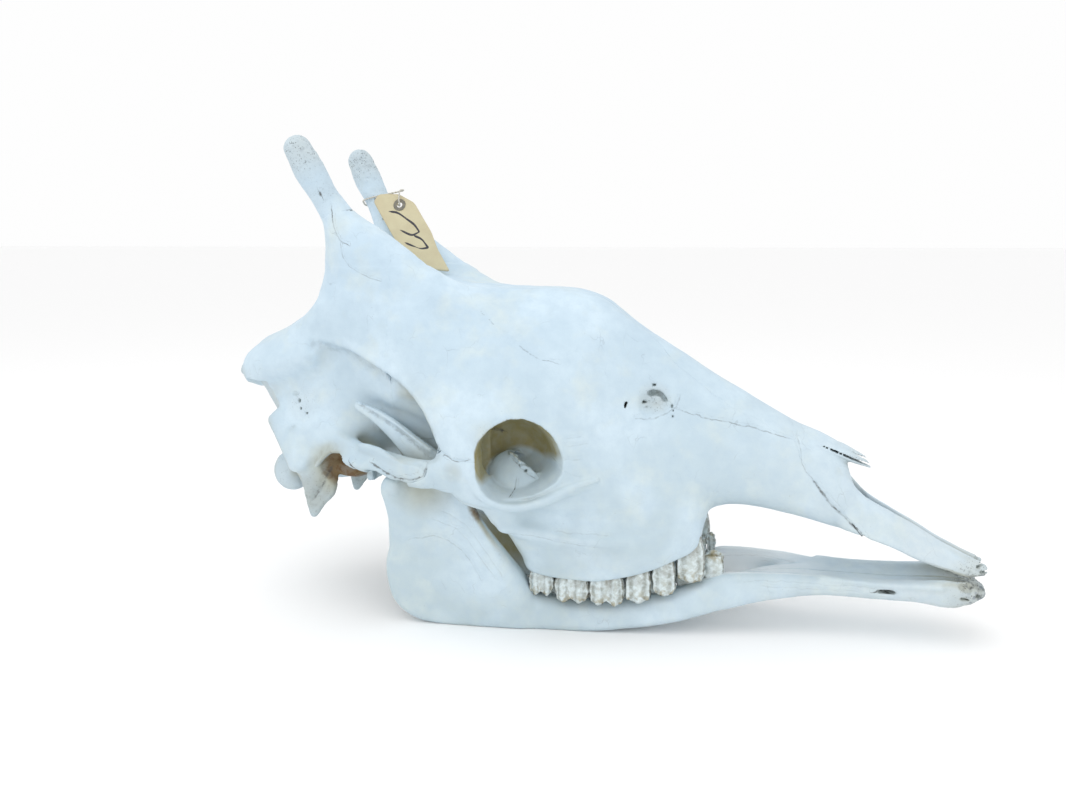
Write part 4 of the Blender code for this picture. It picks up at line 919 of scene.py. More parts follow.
SQUAMOSAL_PITS = [
    ((-244.5, 53, 187), (4.5, 3, 1.6)), ((-239.5, 54, 181), (1.0, 4, 2.2)),
    ((-237, 54, 174.5), (0.9, 4, 1.6)), ((-231.5, 56, 171), (1.4, 4, 1.4)),
    ((-217, 59, 159.5), (2.2, 4, 2.0)), ((-236, 55, 190), (1.5, 4, 1.3)),
]
# Grooves, sutures and cracks, and a few lines of painted shade: depth and half-width of the groove,
# half-width and darkness of the line in it, the sides between which they show, and their path in x and z.
LINES = [
    (
        1.1, 4.5, 0.5, 0.0, 20, 90,
        [(-108, 286), (-97.7, 280), (-79, 264.7), (-61, 249.5), (-43.7, 236.1), (-23.5, 224.8)],
    ),
    (
        0.4, 1.2, 0.45, 0.35, 20, 90,
        [(-79, 264.7), (-61, 249.5), (-43.7, 236.1), (-23.5, 224.8), (-12, 222)],
    ),
    (
        0.4, 1.2, 0.5, 0.55, 90, 124,
        [(-93, 153.5), (-88, 151.5), (-84.4, 150.5), (-77, 150.4), (-72, 151.6)],
    ),
    (
        0.4, 1.2, 0.5, 0.75, 40, 84,
        [(-197.8, 342.2), (-197, 331.8), (-195.5, 325.5), (-190.6, 315.9), (-183, 312)],
    ),
    (0.2, 1.2, 0.4, 0.3, 40, 84, [(-200, 322), (-192, 318), (-186, 300), (-168, 288), (-156, 284)]),
    (0.8, 1.4, 0.9, 0.9, 40, 84, [(-206.6, 353), (-205.6, 351)]),
    (0.3, 1.2, 0.45, 0.4, 10, 60, [(79, 183.5), (100, 177.5), (127, 172), (150, 166), (166, 161.5)]),
    (0.3, 1.2, 0.45, 0.25, 12, 40, [(172, 164), (175, 152), (176, 143), (180, 136), (187, 128)]),
    (
        1.0, 1.5, 0.9, 0.75, 12, 40,
        [(186, 129), (192, 121), (199, 112), (206, 105), (212.3, 99.4), (220, 92), (228, 82)],
    ),
    # Painted shade inside the mental foramen.
    (0.6, 1.4, 0.8, 0.9, 20, 40, [(236, 41.2), (241, 42.2), (249.5, 42)]),
    (0.5, 1.8, 0.5, 0.1, 12, 40, [(118, 44), (150, 47), (190, 45.5), (230, 44.5)]),
    (0.4, 1.6, 0.5, 0.1, 12, 40, [(150, 43), (190, 41), (225, 40.5)]),
    (0.6, 2.4, 0.5, 0.12, 60, 124, [(-2, 150), (8, 149.5)]),
    (0.5, 2.4, 0.5, 0.1, 60, 124, [(-1, 161), (5, 160), (12, 161)]),
    (0.5, 2.2, 0.5, 0.1, 60, 124, [(-1, 166), (8, 167)]),
    (0.4, 1.2, 0.45, 0.8, 40, 98, [(-42.8, 129.5), (-43.4, 125), (-44, 119.5)]),
    (0.4, 1.2, 0.5, 0.5, 60, 84, [(-48, 144), (-42, 140), (-36, 135.5), (-30, 131)]),
    (0.8, 2.0, 1.6, 0.9, 45, 60, [(-65.5, 164), (-62.5, 162.5)]),
    # Painted shadow: a black triangle in the gap under the front of the coronoid blade.
    (0.5, 2.0, 1.6, 1.0, 20, 66, [(-142, 141), (-139.5, 144), (-137, 141)]),
    (0.8, 3.0, 0.5, 0.2, 60, 100, [(-46, 88), (-30, 87), (-10, 82), (6, 79), (20, 77)]),
    (0.5, 2.6, 0.5, 0.12, 60, 100, [(-10, 90), (10, 88), (30, 87)]),
    (0.5, 2.0, 0.6, 0.3, 30, 80, [(48, 178), (60, 177), (70, 181), (78, 186), (80, 193)]),
    (
        1.2, 1.6, 0.9, 0.75, 84, 108,
        [
            (-160, 136.5), (-154, 133.8), (-147, 131.8), (-135, 129), (-123, 129.7), (-115, 133.2),
            (-110.5, 137), (-109.5, 142),
        ],
    ),
    (0.8, 1.6, 1.3, 0.9, 40, 84, [(-181.2, 134.7), (-178.2, 129.6), (-176, 125.3)]),
    # Its line paints a faint shadow band under the overhanging temporal line.
    (
        2.2, 4.5, 3.6, 0.14, 40, 112,
        [
            (-221, 230), (-196.5, 226.6), (-163.3, 213), (-135.5, 200), (-120.5, 185.8), (-109, 171.8),
            (-101.4, 157.5),
        ],
    ),
    # Painted shadow: a soft dark line under the coronoid blade's upper ridge.
    (1.0, 1.8, 1.5, 0.3, 58, 84, [(-176, 181.5), (-160, 173.5), (-147, 166.5), (-131, 156), (-116, 146)]),
    (0.8, 2.0, 1.2, 0.6, 44, 62, [(-215, 122), (-217, 117.5), (-223.5, 105.5), (-232, 94.5)]),
    (0.3, 1.5, 1.3, 0.75, 28, 60, [(-254, 132), (-252, 118), (-246, 108)]),
    (0.6, 2.2, 0.5, 0.2, 10, 100, [(-132, 74), (-112, 78), (-96, 72), (-82, 58), (-74, 44)]),
    (0.6, 2.4, 0.5, 0.14, 10, 100, [(-112, 92), (-92, 84), (-76, 66), (-62, 46)]),
    (0.4, 2.0, 0.5, 0.12, 10, 100, [(-104, 100), (-86, 90), (-70, 70), (-56, 48)]),
]
# Behind and under this edge the maxilla ends, and the space before the ramus opens.
MAXILLA_REAR = [
    (-68, 106), (-63, 95), (-54, 87), (-49, 72.5), (-42, 60), (-40, 48), (-120, 48), (-120, 98), (-84, 110),
]
# The occipital faces beside the midline: a foot on each, where it faces, and the box that it lies in.
OCCIPITAL_FACETS = [
    ((-254.5, 50, 168), (-0.708, 0.582, -0.401), (-330, 8, 160), (-230, 80, 196)),
    ((-246.6, 51, 155.5), (-0.733, 0.673, -0.101), (-330, 8, 112), (-230, 80, 161)),
]


def horn_seam():
    """What lies past the foot of the horn, along the line from there to its tip."""
    base, tip = np.array(OSSICONE[HORN_CUT][:3]), np.array(OSSICONE[0][:3])
    return Beyond(base[[0, 2]], (tip - base)[[0, 2]], 1.2)


class Outside:
    """A region kept to what lies further out than a side."""

    def __init__(self, region, side):
        self.region, self.side = region, side

    def distance(self, axes):
        return np.maximum(self.region.distance(axes), (self.side - axes[1])[None, :, None])


# Each seam with its gap in mm. Where the photograph shows none, the bones run a little into each other.
SEAMS = {
    "ossicone": (horn_seam(), -4.0),
    "nasal": (Bed(NASAL_BED, 0.8), -1.2),
    "premaxilla": (Outline(PREMAXILLA_SEAM, 1.0), -1.2),
    "maxilla": (Outline(MAXILLA_SEAM, 1.2), -4.0),
    "jugal": (Outside(Outline(JUGAL_SEAM, 0.8), 62.0), -1.2),
    "frontal": (Outline(FRONTAL_SEAM, 0.5), -4.0),
}


def socket_and_jaw(field):
    """The orbit, its lip and its tear bone, and the cheek under it."""
    field.join(Bar(ORBIT_LIP, pieces=36), 3)
    orbit = Tunnel(ORBIT_RIM, ORBIT_LEVELS, 0.5)
    field.cut(orbit, 1)
    centre, radii, wall, (foot, toward, waver, size) = TEAR_BULLA
    bulla = Shell(centre, radii, wall, Beyond(foot, toward, waver, size))
    field.join(Within(bulla, orbit, 2.0), 1.5)
    field.join(Within(Slits(TEAR_SPLINTERS, 1.3), orbit, 2.0), 0.8)


def face_marks(field):
    """Grooves, ridges and broken places of the face."""
    field.cut(Bar(CHEEK_HOLLOW, pieces=12), 10)
    field.join(Bar(CHEEK_RIDGE, pieces=16), 7)
    field.cut(Bar(FACE_DISH), 5)
    field.cut(Slits(FACE_BREAKS, 0.9), 0.6)
    field.cut(Slab(MAXILLA_REAR, 52.0, 100.0), 3)


def rear_marks(field):
    """Crests, pits and the ear's porch at the rear."""
    bars = (REAR_FILL, 12, 16), (LAMBDOID_CREST, 24, 5), (FOSSA_FILL, 14, 12), (FOSSA_FLOOR, 12, 8)
    for stations, pieces, blend in (*bars, (TEMPORAL_LINE, 28, 8)):
        field.join(Bar(stations, pieces=pieces), blend)
    for facet in OCCIPITAL_FACETS:
        field.cut(Facet(*facet), 2)
    for centre, radii in SQUAMOSAL_PITS:
        field.cut(Ball(centre, radii), 1)
    field.cut(Ball(*FOSSA_HOLE), 1)


def skull_field(low, high, step):
    """The upper skull's distances within a box of the grid."""
    field = Field(low, high, step)
    field.join(Wall(HEAD, edge=16.0), 0)
    field.soften(5.0)
    field.join(Bar(FRONTAL_RIDGE, pieces=16), 18)
    field.join(Bar(OSSICONE, pieces=26), 16)
    field.join(Wall(BRAINCASE, edge=14.0, rear=BRAINCASE_REAR), 5)
    rear_marks(field)
    field.join(Bar(BASIOCCIPITAL, pieces=6), 10)
    field.join(Bar(MASTOID), 10)
    field.join(Ball(*CONDYLE), 6)
    field.join(Wall(PAROCCIPITAL, PAROCCIPITAL_MIDDLE, edge=2.5), 5)
    field.cut(Bar(PAROCCIPITAL_GROOVE, pieces=10), 3)
    field.cut(Bar(CONDYLE_SLOT, pieces=8), 3)
    field.join(Bar(FACIAL_CREST), 12)
    field.join(Wall(ALVEOLAR, ALVEOLAR_MIDDLE, edge=4.0), 8)
    field.cut(Bar(ORBIT_WINDOW), 8)
    field.cut(Bar(JAW_WINDOW), 6)
    field.join(Wall(PREMAXILLA, PREMAXILLA_MIDDLE, edge=6.0), 4)
    field.join(Wall(ARCH_ROOT, ARCH_MIDDLE, edge=6.0), 12)
    field.join(Bar(GLENOID), 8)
    field.join(Bar(POST_GLENOID, pieces=8), 4)
    field.cut(Ball(*EAR_HOLLOW), 2)
    field.join(Bar(EAR_ROOF, pieces=16), 4)
    field.join(Ball(*BULLA), 4)
    field.join(Bar(RIM, pieces=30), 7)
    field.join(Bar(JUGAL, pieces=20), 5)
    field.join(Plate(JUGAL_EDGE, (-122, 92.5, 128), (0.42, 0.25), 1.8), 1.5)
    field.join(Plate(ZYGOMA_LOBE, (-122, 96, 136), (0.46, 0.3), 3.0, 4.0), 1.5)
    face_marks(field)
    socket_and_jaw(field)
    field.cut(Wall(PALATE, edge=12.0), 6)
    field.join(Bar(PTERYGOID), 5)
    field.cut(Bar(CHOANA), 4)
    field.cut(Wall(NOSE, edge=10.0), 3)
    field.join(Bar(NASAL_TIP), 2)
    field.cut(Bar(NASAL_SLIT, pieces=12), 0.8)
    field.cut(Bar(NASAL_NICKS), 1)
    field.join(Bar(PALATINE_PROCESS), 3)
    field.cut(Slits(SNOUT_NICKS, 0.9), 0.6)
    field.cut(Bar(NECK_HOLE), 4)
    return field


def jaw_field(low, high, step):
    """The lower jaw's distances within a box of the grid."""
    field = Field(low, high, step)
    field.join(Wall(JAW, JAW_MIDDLE, edge=6.0, rear=JAW_REAR), 0)
    field.join(Wall(SYMPHYSIS, edge=6.0), 6)
    field.cut(Bar(TROUGH), 5)
    field.join(Wall(CORONOID, CORONOID_MIDDLE, edge=2.5), 6)
    field.join(Plate(CORONOID_BLADE, (-147, 71.5, 165), (0.17, 0.0), 1.4, 1.5), 2)
    field.join(Bar(CORONOID_EDGE, pieces=20), 1.5)
    field.join(Bar(JAW_CONDYLE, across=(1, 0, 0)), 12)
    field.join(Bar(JAW_LINE, pieces=10), 4)
    field.cut(Bar(MENTAL_HOLE, pieces=8), 1)
    for centre, radii in JAW_SOCKETS:
        field.cut(Ball(centre, radii), 1.5)
    field.cut(Slits(JAW_NICKS, 1.2, 4.0), 0.8)
    field.limit(-field.axes[2][None, None, :])
    return field


# Each bone: its field, the box it lies in, the grid's step, the seam that it keeps to and those that
# bound it, and whether it has a left and a right one.
BONES = {
    "braincase": (
        skull_field, (-330, 0, 60), (-74, 118, 340), 1.54, None, ("jugal", "frontal", "ossicone"), False
    ),
    "frontal": (
        skull_field, (-172, 0, 66), (70, 124, 346), 1.25, "frontal",
        ("jugal", "ossicone", "nasal", "maxilla"), True
    ),
    "jugal": (skull_field, (-128, 40, 88), (20, 124, 172), 1.0, "jugal", ("maxilla",), True),
    "ossicone": (skull_field, (-246, 30, 304), (-160, 84, 408), 0.9, "ossicone", (), True),
    "nasal": (skull_field, (34, 0, 126), (246, 32, 258), 1.0, "nasal", (), True),
    "premaxilla": (skull_field, (158, 0, 46), (332, 42, 172), 0.9, "premaxilla", ("nasal",), True),
    "maxilla": (
        skull_field, (-96, 0, 36), (242, 112, 262), 1.25, "maxilla", ("nasal", "premaxilla"), True
    ),
    "mandible": (jaw_field, (-196, 0, -6), (332, 104, 196), 1.2, None, (), True),
}
STANDS_FOR = {"braincase": ("cranium",), "frontal": ("cranium",), "jugal": ("cranium",)}
BONE_MARKS = ("hollow", "rough", "stain", "olive", "offset", "ink")
LINE_REACH = 5.0
HOLLOW_REACHES = (3.0, 7.0, 18.0)
# Behind and under these, bone that looks back gets painted shade. Past the next x painted light brightens
# the bone between the jaws, and behind the last olive painted shade darkens bone that looks back.
OCCIPUT_FROM, OCCIPUT_TOP, OCCIPUT_SHADE = -240, 1500 / 7, 0.62
PAINTED_LIGHT_FROM, OLIVE_SHADE_BACK = 90, -90
# Places in x, side and z with a reach and a strength: porous bone, brown stain, olive painted shade,
# and painted shade.
ROUGH_PLACES = [
    ((-222, 61, 386), 30, 1.0), ((-207, 58, 354), 20, 0.4), ((312, 14, 44), 30, 1.6),
    ((-236, 55, 180), 18, 0.35), ((-200, 40, 122), 26, 1.0), ((-230, 50, 98), 28, 0.9),
    ((-264, 30, 112), 24, 0.5), ((-272, 32, 150), 34, 0.6), ((312, 10, 62), 14, 0.4),
    ((-62, 108, 168), 14, 0.3), ((222, 12, 141), 16, 0.4), ((60, 38, 192), 15, 0.9),
]
STAINED_PLACES = [((-200, 46, 126), 36, 1.7), ((-70, 66, 146), 18, 0.9), ((-74, 77, 104), 20, 1.2)]
OLIVE_SHADE_PLACES = [
    ((-200, 46, 126), 36, 1.0), ((-70, 62, 92), 34, 0.9), ((-60, 36, 70), 44, 0.9),
    ((-86, 56, 38), 46, 0.9), ((-106, 92, 174), 22, 0.45), ((-126, 84, 192), 24, 0.4),
    ((-152, 58, 146), 24, 0.5), ((-128, 74, 148), 26, 0.6), ((-250, 46, 116), 13, 0.8),
    ((292, 10, 52), 30, 0.4),
]
SHADED_PLACES = [
    ((-232, 52, 100), 28, 0.85), ((-248, 40, 112), 18, 0.6), ((-84, 104, 141), 14, 0.75),
    ((-272, 38, 157), 28, 0.8), ((10, 80, 74), 40, 0.35),
]
PAINTED_LIGHT_PLACE = ((140, 24, 46), 75, 1.0)
OLIVE_SHADE_UNDER_ARCH = ((-122, 66, 124), 36, 0.6)


def strength_at(corners, places):
    """How near each corner is to the named places, from 0 to their strength, alike on both sides."""
    at = np.abs(corners * (0, 1, 0)) + corners * (1, 0, 1)
    found = np.zeros(len(corners))
    for centre, reach, strength in places:
        away = np.linalg.norm(at - centre, axis=1) / reach
        found = np.maximum(found, strength * np.clip(1.6 - 1.6 * away, 0, 1))
    return found


def socket_shade(corners, normals):
    """The olive painted shade in the eye socket: inside an ellipse that moves back as the socket goes in,
    above a slanting line, clear of the tear bone, whose ball is taken a little narrower, and near the rim
    only where the wall doesn't face outwards."""
    x, side, z = corners[:, 0], np.abs(corners[:, 1]), corners[:, 2]
    mouth = np.hypot((x + 31 + 0.3 * (106 - side)) / 39, (z - 150) / 34)
    level = (z - 143 - 0.32 * (x + 30)) / 7 + 0.5
    ball = np.sqrt(((x + 46) / 31) ** 2 + ((side - 57) / 26) ** 2 + ((z - 100) / 49) ** 2)
    found = np.clip((1.04 - mouth) / 0.08, 0, 1) * np.clip(level, 0, 1) * np.clip((ball - 1.05) / 0.08, 0, 1)
    open_wall = np.clip((0.72 - facing_out(corners, normals)) / 0.25, 0, 1)
    return found * np.maximum(np.clip((82 - side) / 6, 0, 1), open_wall)


def painted_shade_at(axes, values, corners, normals):
    """Painted shade: how much nearer other bone is, some way off the surface, than open ground would have
    it, with the named shaded places and the face of the occiput that looks back; and painted light, as
    less than nothing, where light falls between the jaws."""
    found = np.zeros(len(corners))
    for reach in HOLLOW_REACHES:
        open_ground = np.clip(sampled(axes, values, corners + reach * normals) / reach, 0, 1)
        found += (1 - open_ground) / len(HOLLOW_REACHES)
    found = np.maximum(found, strength_at(corners, SHADED_PLACES))
    x, z = corners[:, 0], corners[:, 2]
    behind = (x < OCCIPUT_FROM) * np.clip((OCCIPUT_TOP - z) * 0.07, 0, 1)
    found = np.maximum(found, OCCIPUT_SHADE * behind * np.clip((-normals[:, 0] - 0.45) / 0.2, 0, 1))
    painted_light = strength_at(corners, [PAINTED_LIGHT_PLACE]) * np.clip(0.6 - facing_out(corners, normals), 0, 1)
    return found - np.where(x > PAINTED_LIGHT_FROM, painted_light, 0)


def facing_out(corners, normals):
    """How far the surface faces away from the middle plane, from -1 to 1."""
    return normals[:, 1] * np.sign(corners[:, 1])


def olive_shade_at(corners, normals, hollow):
    """The olive painted shade: near its named places where the surface is hollow or faces inwards or back,
    under the arch and in the eye socket.
    """
    inner = np.maximum(np.clip(hollow / 0.2 - 0.2, 0, 1), np.clip(-3 * facing_out(corners, normals), 0, 1))
    back = np.clip(-2 * normals[:, 0] - 0.3, 0, 1) * (corners[:, 0] < OLIVE_SHADE_BACK)
    found = strength_at(corners, OLIVE_SHADE_PLACES) * np.maximum(inner, back)
    found = np.maximum(found, strength_at(corners, [OLIVE_SHADE_UNDER_ARCH]))
    return np.maximum(found, socket_shade(corners, normals))


def bone_surface(name):
    """Corners, faces, and at each corner its hollow mark of painted shade and light, how rough and stained
    it is, its olive painted shade and its drawn lines.
    """
    build, low, high, step, kept, dropped, paired = BONES[name]
    field = build(low, high, step * COARSER)
    if kept:
        field.keep(*SEAMS[kept])
    for seam in dropped:
        field.drop(*SEAMS[seam])
    axes, values = field.axes, field.distance
    if paired:
        values = np.maximum(values, (GAP / 2 - axes[1])[None, :, None].astype(np.float32))
    else:
        values = np.concatenate([values[:, :0:-1], values], axis=1)
        axes = [axes[0], np.concatenate([-axes[1][:0:-1], axes[1]]), axes[2]]
    corners, faces = surface_of(axes, values)
    corners = settled(axes, values, corners, faces)
    normals = normals_of(corners, faces)
    # The hollow mark is painted shade, and painted light where it is below zero.
    hollow = painted_shade_at(axes, values, corners, normals)
    rough, stain = strength_at(corners, ROUGH_PLACES), strength_at(corners, STAINED_PLACES)
    sunk, offset, ink = drawn_lines(corners)
    olive = olive_shade_at(corners, normals, hollow)
    marks = dict(zip(BONE_MARKS, (hollow, rough, stain, olive, offset, ink)))
    corners = corners + normals * (grain(corners, rough) - sunk)[:, None]
    low, high = (np.array(corner) / MM for corner in CAD_BOX)
    low[1] = max(low[1], -high[1])
    corners = np.clip(corners, low, (high[0], -low[1], high[2]))
    return corners, faces, marks


def drawn_lines(corners):
    """What the grooves, sutures and cracks, and the lines of painted shade, do at each corner: how deep it
    is sunk, by a bell curve of its distance to their paths; how far it lies to the left or right of the
    nearest path, against the line's half-width; and how dark that line is. A path runs in x and z, on the
    bone's outer side."""
    sunk, ink = np.zeros(len(corners)), np.zeros(len(corners))
    offset = np.full(len(corners), LINE_REACH)
    side = np.abs(corners[:, 1])
    for depth, groove, width, dark, low, high, path in LINES:
        path = smooth_path(path, 8 * len(path))
        reach = max(3 * groove, LINE_REACH * width) + 1
        near = (side > low) & (side < high)
        for at, line in zip(corners.T[[0, 2]], path.T):
            near &= (at > line.min() - reach) & (at < line.max() + reach)
        near = np.nonzero(near)[0]
        if not len(near):
            continue
        x, z = corners[near, 0], corners[near, 2]
        z = z + 0.9 * layered_noise(np.abs(corners[near]), 5.0, 2)
        away, signed = np.full(len(near), 1e9), np.zeros(len(near))
        for start, end in zip(path[:-1], path[1:]):
            found = off_segment(x, z, start, end)
            dx, dz = end - start
            turn = np.where((x - start[0]) * dz > (z - start[1]) * dx, 1, -1)
            signed = np.where(found < away, found * turn, signed)
            away = np.minimum(away, found)
        sunk[near] += depth * np.exp(-((away / groove) ** 2))
        place = np.clip(signed / width, -LINE_REACH, LINE_REACH)
        closer = np.abs(place) < np.abs(offset[near])
        offset[near] = np.where(closer, place, offset[near])
        faded = dark * np.clip(LINE_REACH - np.abs(place), 0, 1)
        ink[near] = np.where(closer, faded, ink[near])
    return sunk, offset, ink


def grain(at, rough):
    """Swellings and pits of dry bone along the normals, in mm: slow noise, fine noise, and where the
    bone is rough, knobs and pores."""
    lift = 0.35 * layered_noise(at, 22.0, 2) + 0.10 * layered_noise(at, 5.0, 2)
    pores = np.clip(layered_noise(at, 2.6, 2) - 0.35, 0, 1)
    return lift + rough * (0.35 * layered_noise(at, 4.0, 2) - 1.6 * pores)


def new_piece(name, corners, faces, marks=None, fans=()):
    """A mesh object from corners in mm, four-sided faces and three-sided fans, with a number at each
    corner under each name in marks."""
    mesh = bpy.data.meshes.new(name)
    faces, fans = np.asarray(faces, np.int32), np.asarray(fans, np.int32).reshape(-1, 3)
    sizes = np.concatenate([np.full(len(faces), 4), np.full(len(fans), 3)])
    loops = np.concatenate([faces.ravel(), fans.ravel()])
    mesh.vertices.add(len(corners))
    mesh.vertices.foreach_set("co", (np.asarray(corners) * MM).astype(np.float32).ravel())
    mesh.loops.add(len(loops))
    mesh.loops.foreach_set("vertex_index", loops)
    mesh.polygons.add(len(sizes))
    mesh.polygons.foreach_set("loop_start", (np.cumsum(sizes) - sizes).astype(np.int32))
    mesh.update(calc_edges=True)
    for title, values in (marks or {}).items():
        layer = mesh.attributes.new(title, "FLOAT", "POINT")
        layer.data.foreach_set("value", np.asarray(values, np.float32))
    mesh.shade_smooth()
    obj = bpy.data.objects.new(name, mesh)
    bpy.context.scene.collection.objects.link(obj)
    return obj


def finish_piece(obj, material, slot, *nodes):
    """Gives a piece its material and the nodes that it stands for. The slot is not used."""
    obj.data.materials.append(material)
    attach(obj, "root")
    if nodes:
        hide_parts(*nodes)
    return obj


def mirrored(corners, faces):
    """The same surface on the right side, its faces turned to point outwards again."""
    return corners * (1, -1, 1), faces[:, ::-1]


def add_bone(name, material):
    """A bone, or a left one and its mirror image on the right."""
    corners, faces, marks = bone_surface(name)
    nodes = STANDS_FOR.get(name)
    if not BONES[name][-1]:
        return [finish_piece(new_piece(name + "_bone", corners, faces, marks), material, "bone", *nodes)]
    pieces = []
    for side, (points, quads) in {"left": (corners, faces), "right": mirrored(corners, faces)}.items():
        piece = new_piece(f"{name}_bone_{side}", points, quads, marks)
        pieces.append(finish_piece(piece, material, "bone", *(nodes or (f"{name}_{side}",))))
    return pieces


def ring_faces(rows, columns, wrap=False):
    """Four-sided faces of a grid of corners that closes round its columns, and round its rows too if
    they wrap."""
    i, j = np.meshgrid(np.arange(rows if wrap else rows - 1), np.arange(columns), indexing="ij")
    here, there, ahead = i * columns, (i + 1) % rows * columns, (j + 1) % columns
    return np.stack([here + j, here + ahead, there + ahead, there + j], -1).reshape(-1, 4)


def tube_piece(name, grid, marks=None, wrap=False):
    """A closed surface from a grid of corners, rows by columns. Unless the rows wrap, a fan of faces
    round the mean of each end row closes it. The faces point outwards by the sign of the volume."""
    rows, columns = grid.shape[:2]
    corners = grid.reshape(-1, 3)
    faces, fans = ring_faces(rows, columns, wrap), np.zeros((0, 3), int)
    if not wrap:
        corners = np.concatenate([corners, [grid[0].mean(0), grid[-1].mean(0)]])
        k = np.arange(columns)
        ahead, last, end = (k + 1) % columns, (rows - 1) * columns, rows * columns
        first_fan = np.stack([ahead, k, np.full(columns, end)], 1)
        last_fan = np.stack([last + k, last + ahead, np.full(columns, end + 1)], 1)
        fans = np.concatenate([first_fan, last_fan])
        marks = {title: np.concatenate([v.ravel(), [v[0].mean(), v[-1].mean()]]) for title, v in
                 (marks or {}).items()}
    else:
        marks = {title: v.ravel() for title, v in (marks or {}).items()}
    triangles = np.concatenate([faces[:, :3], faces[:, [0, 2, 3]], fans])
    a, b, c = (corners[triangles[:, k]] - corners.mean(0) for k in range(3))
    if np.sum(np.cross(a, b) * c) < 0:
        faces, fans = faces[:, ::-1], fans[:, ::-1]
    return new_piece(name, corners, faces, marks, fans)


class Shade:
    """A socket of a material that takes part in sums: each operator adds its Math node."""

    def __init__(self, finish, socket):
        self.finish, self.socket = finish, socket

    def math(self, operation, *others):
        return self.finish.node("Math", {"operation": operation}, dict(enumerate((self, *others))))

    def __add__(self, other):
        return self.math("ADD", other)

    def __sub__(self, other):
        return self.math("SUBTRACT", other)

    def __mul__(self, other):
        return self.math("MULTIPLY", other)

    def __rsub__(self, other):
        return self.finish.node("Math", {"operation": "SUBTRACT"}, {0: other, 1: self})

    __radd__, __rmul__ = __add__, __mul__

    def between(self, low, high):
        """0 at low and under it, 1 at high and over it, on a straight line between them."""
        return self.finish.node(
            "MapRange", {"clamp": True}, {"Value": self, "From Min": low, "From Max": high}
        )


class Finish:
    """A material whose nodes are added one expression at a time."""

    def __init__(self, name):
        self.material = bpy.data.materials.new(name)
        self.material.use_nodes = True
        self.tree = self.material.node_tree
        self.shader = self.tree.nodes["Principled BSDF"]
        self.place = self.node("TexCoord", output="Object")

    def node(self, kind, settings=None, values=None, output=0):
        """Adds a node: its settings first, then numbers or links for its sockets."""
        found = self.tree.nodes.new("ShaderNode" + kind)
        for name, value in (settings or {}).items():
            setattr(found, name, value)
        for name, value in (values or {}).items():
            self.put(found.inputs[name], value)
        return Shade(self, found.outputs[output])

    def put(self, socket, value):
        if isinstance(value, Shade):
            self.tree.links.new(value.socket, socket)
        else:
            socket.default_value = value

    def mark(self, name):
        """A number kept at the piece's corners."""
        return self.node("Attribute", {"attribute_name": name}, output="Fac")

    def noise(self, size, detail=3.0, roughness=0.5, at=None):
        """Noise from 0 to 1 with lumps of about this many mm."""
        values = {"Vector": at or self.place, "Scale": 1000 / size, "Detail": detail}
        return self.node("TexNoise", None, {**values, "Roughness": roughness})

    def cells(self, size, feature="F1", at=None):
        """Distances in a foam of cells of about this many mm."""
        values = {"Vector": at or self.place, "Scale": 1000 / size}
        return self.node("TexVoronoi", {"feature": feature}, values)

    def mixed(self, first, second, share):
        """Two colours mixed by a share, which the node keeps between 0 and 1."""
        settings = {"data_type": "RGBA", "clamp_factor": True}
        first, second = (c if isinstance(c, Shade) else (*tuple(c)[:3], 1.0) for c in (first, second))
        return self.node("Mix", settings, {0: share, 6: first, 7: second}, output=2)

    def over(self, colour, *layers):
        """Colours laid over one another in turn, each by its share."""
        for layer, share in layers:
            colour = self.mixed(colour, layer, share)
        return colour

    def shifted(self, distance):
        """The place moved along all axes, in metres, so that two noises differ."""
        return self.node("VectorMath", {"operation": "ADD"}, {0: self.place, 1: (distance,) * 3})

    def warped(self, amount, size):
        """The place moved about by noise, in mm."""
        drift = self.node(
            "TexNoise", None, {"Vector": self.place, "Scale": 1000 / size, "Detail": 2.0}, output=1
        )
        centred = self.node("VectorMath", {"operation": "SUBTRACT"}, {0: drift, 1: (0.5, 0.5, 0.5)})
        scaled = self.node("VectorMath", {"operation": "SCALE"}, {0: centred, "Scale": amount * MM})
        return self.node("VectorMath", {"operation": "ADD"}, {0: self.place, 1: scaled})

    def done(self, colour, roughness, height=None, relief=0.0, **constants):
        """Links colour, roughness and height in mm, and sets the rest on the shader's own sockets."""
        self.put(self.shader.inputs["Base Color"], colour)
        self.put(self.shader.inputs["Roughness"], roughness)
        if height is not None:
            settings = {"Height": height, "Strength": relief, "Distance": MM}
            self.put(self.shader.inputs["Normal"], self.node("Bump", None, settings))
        for name, value in constants.items():
            self.shader.inputs[name].default_value = value
        return self.material


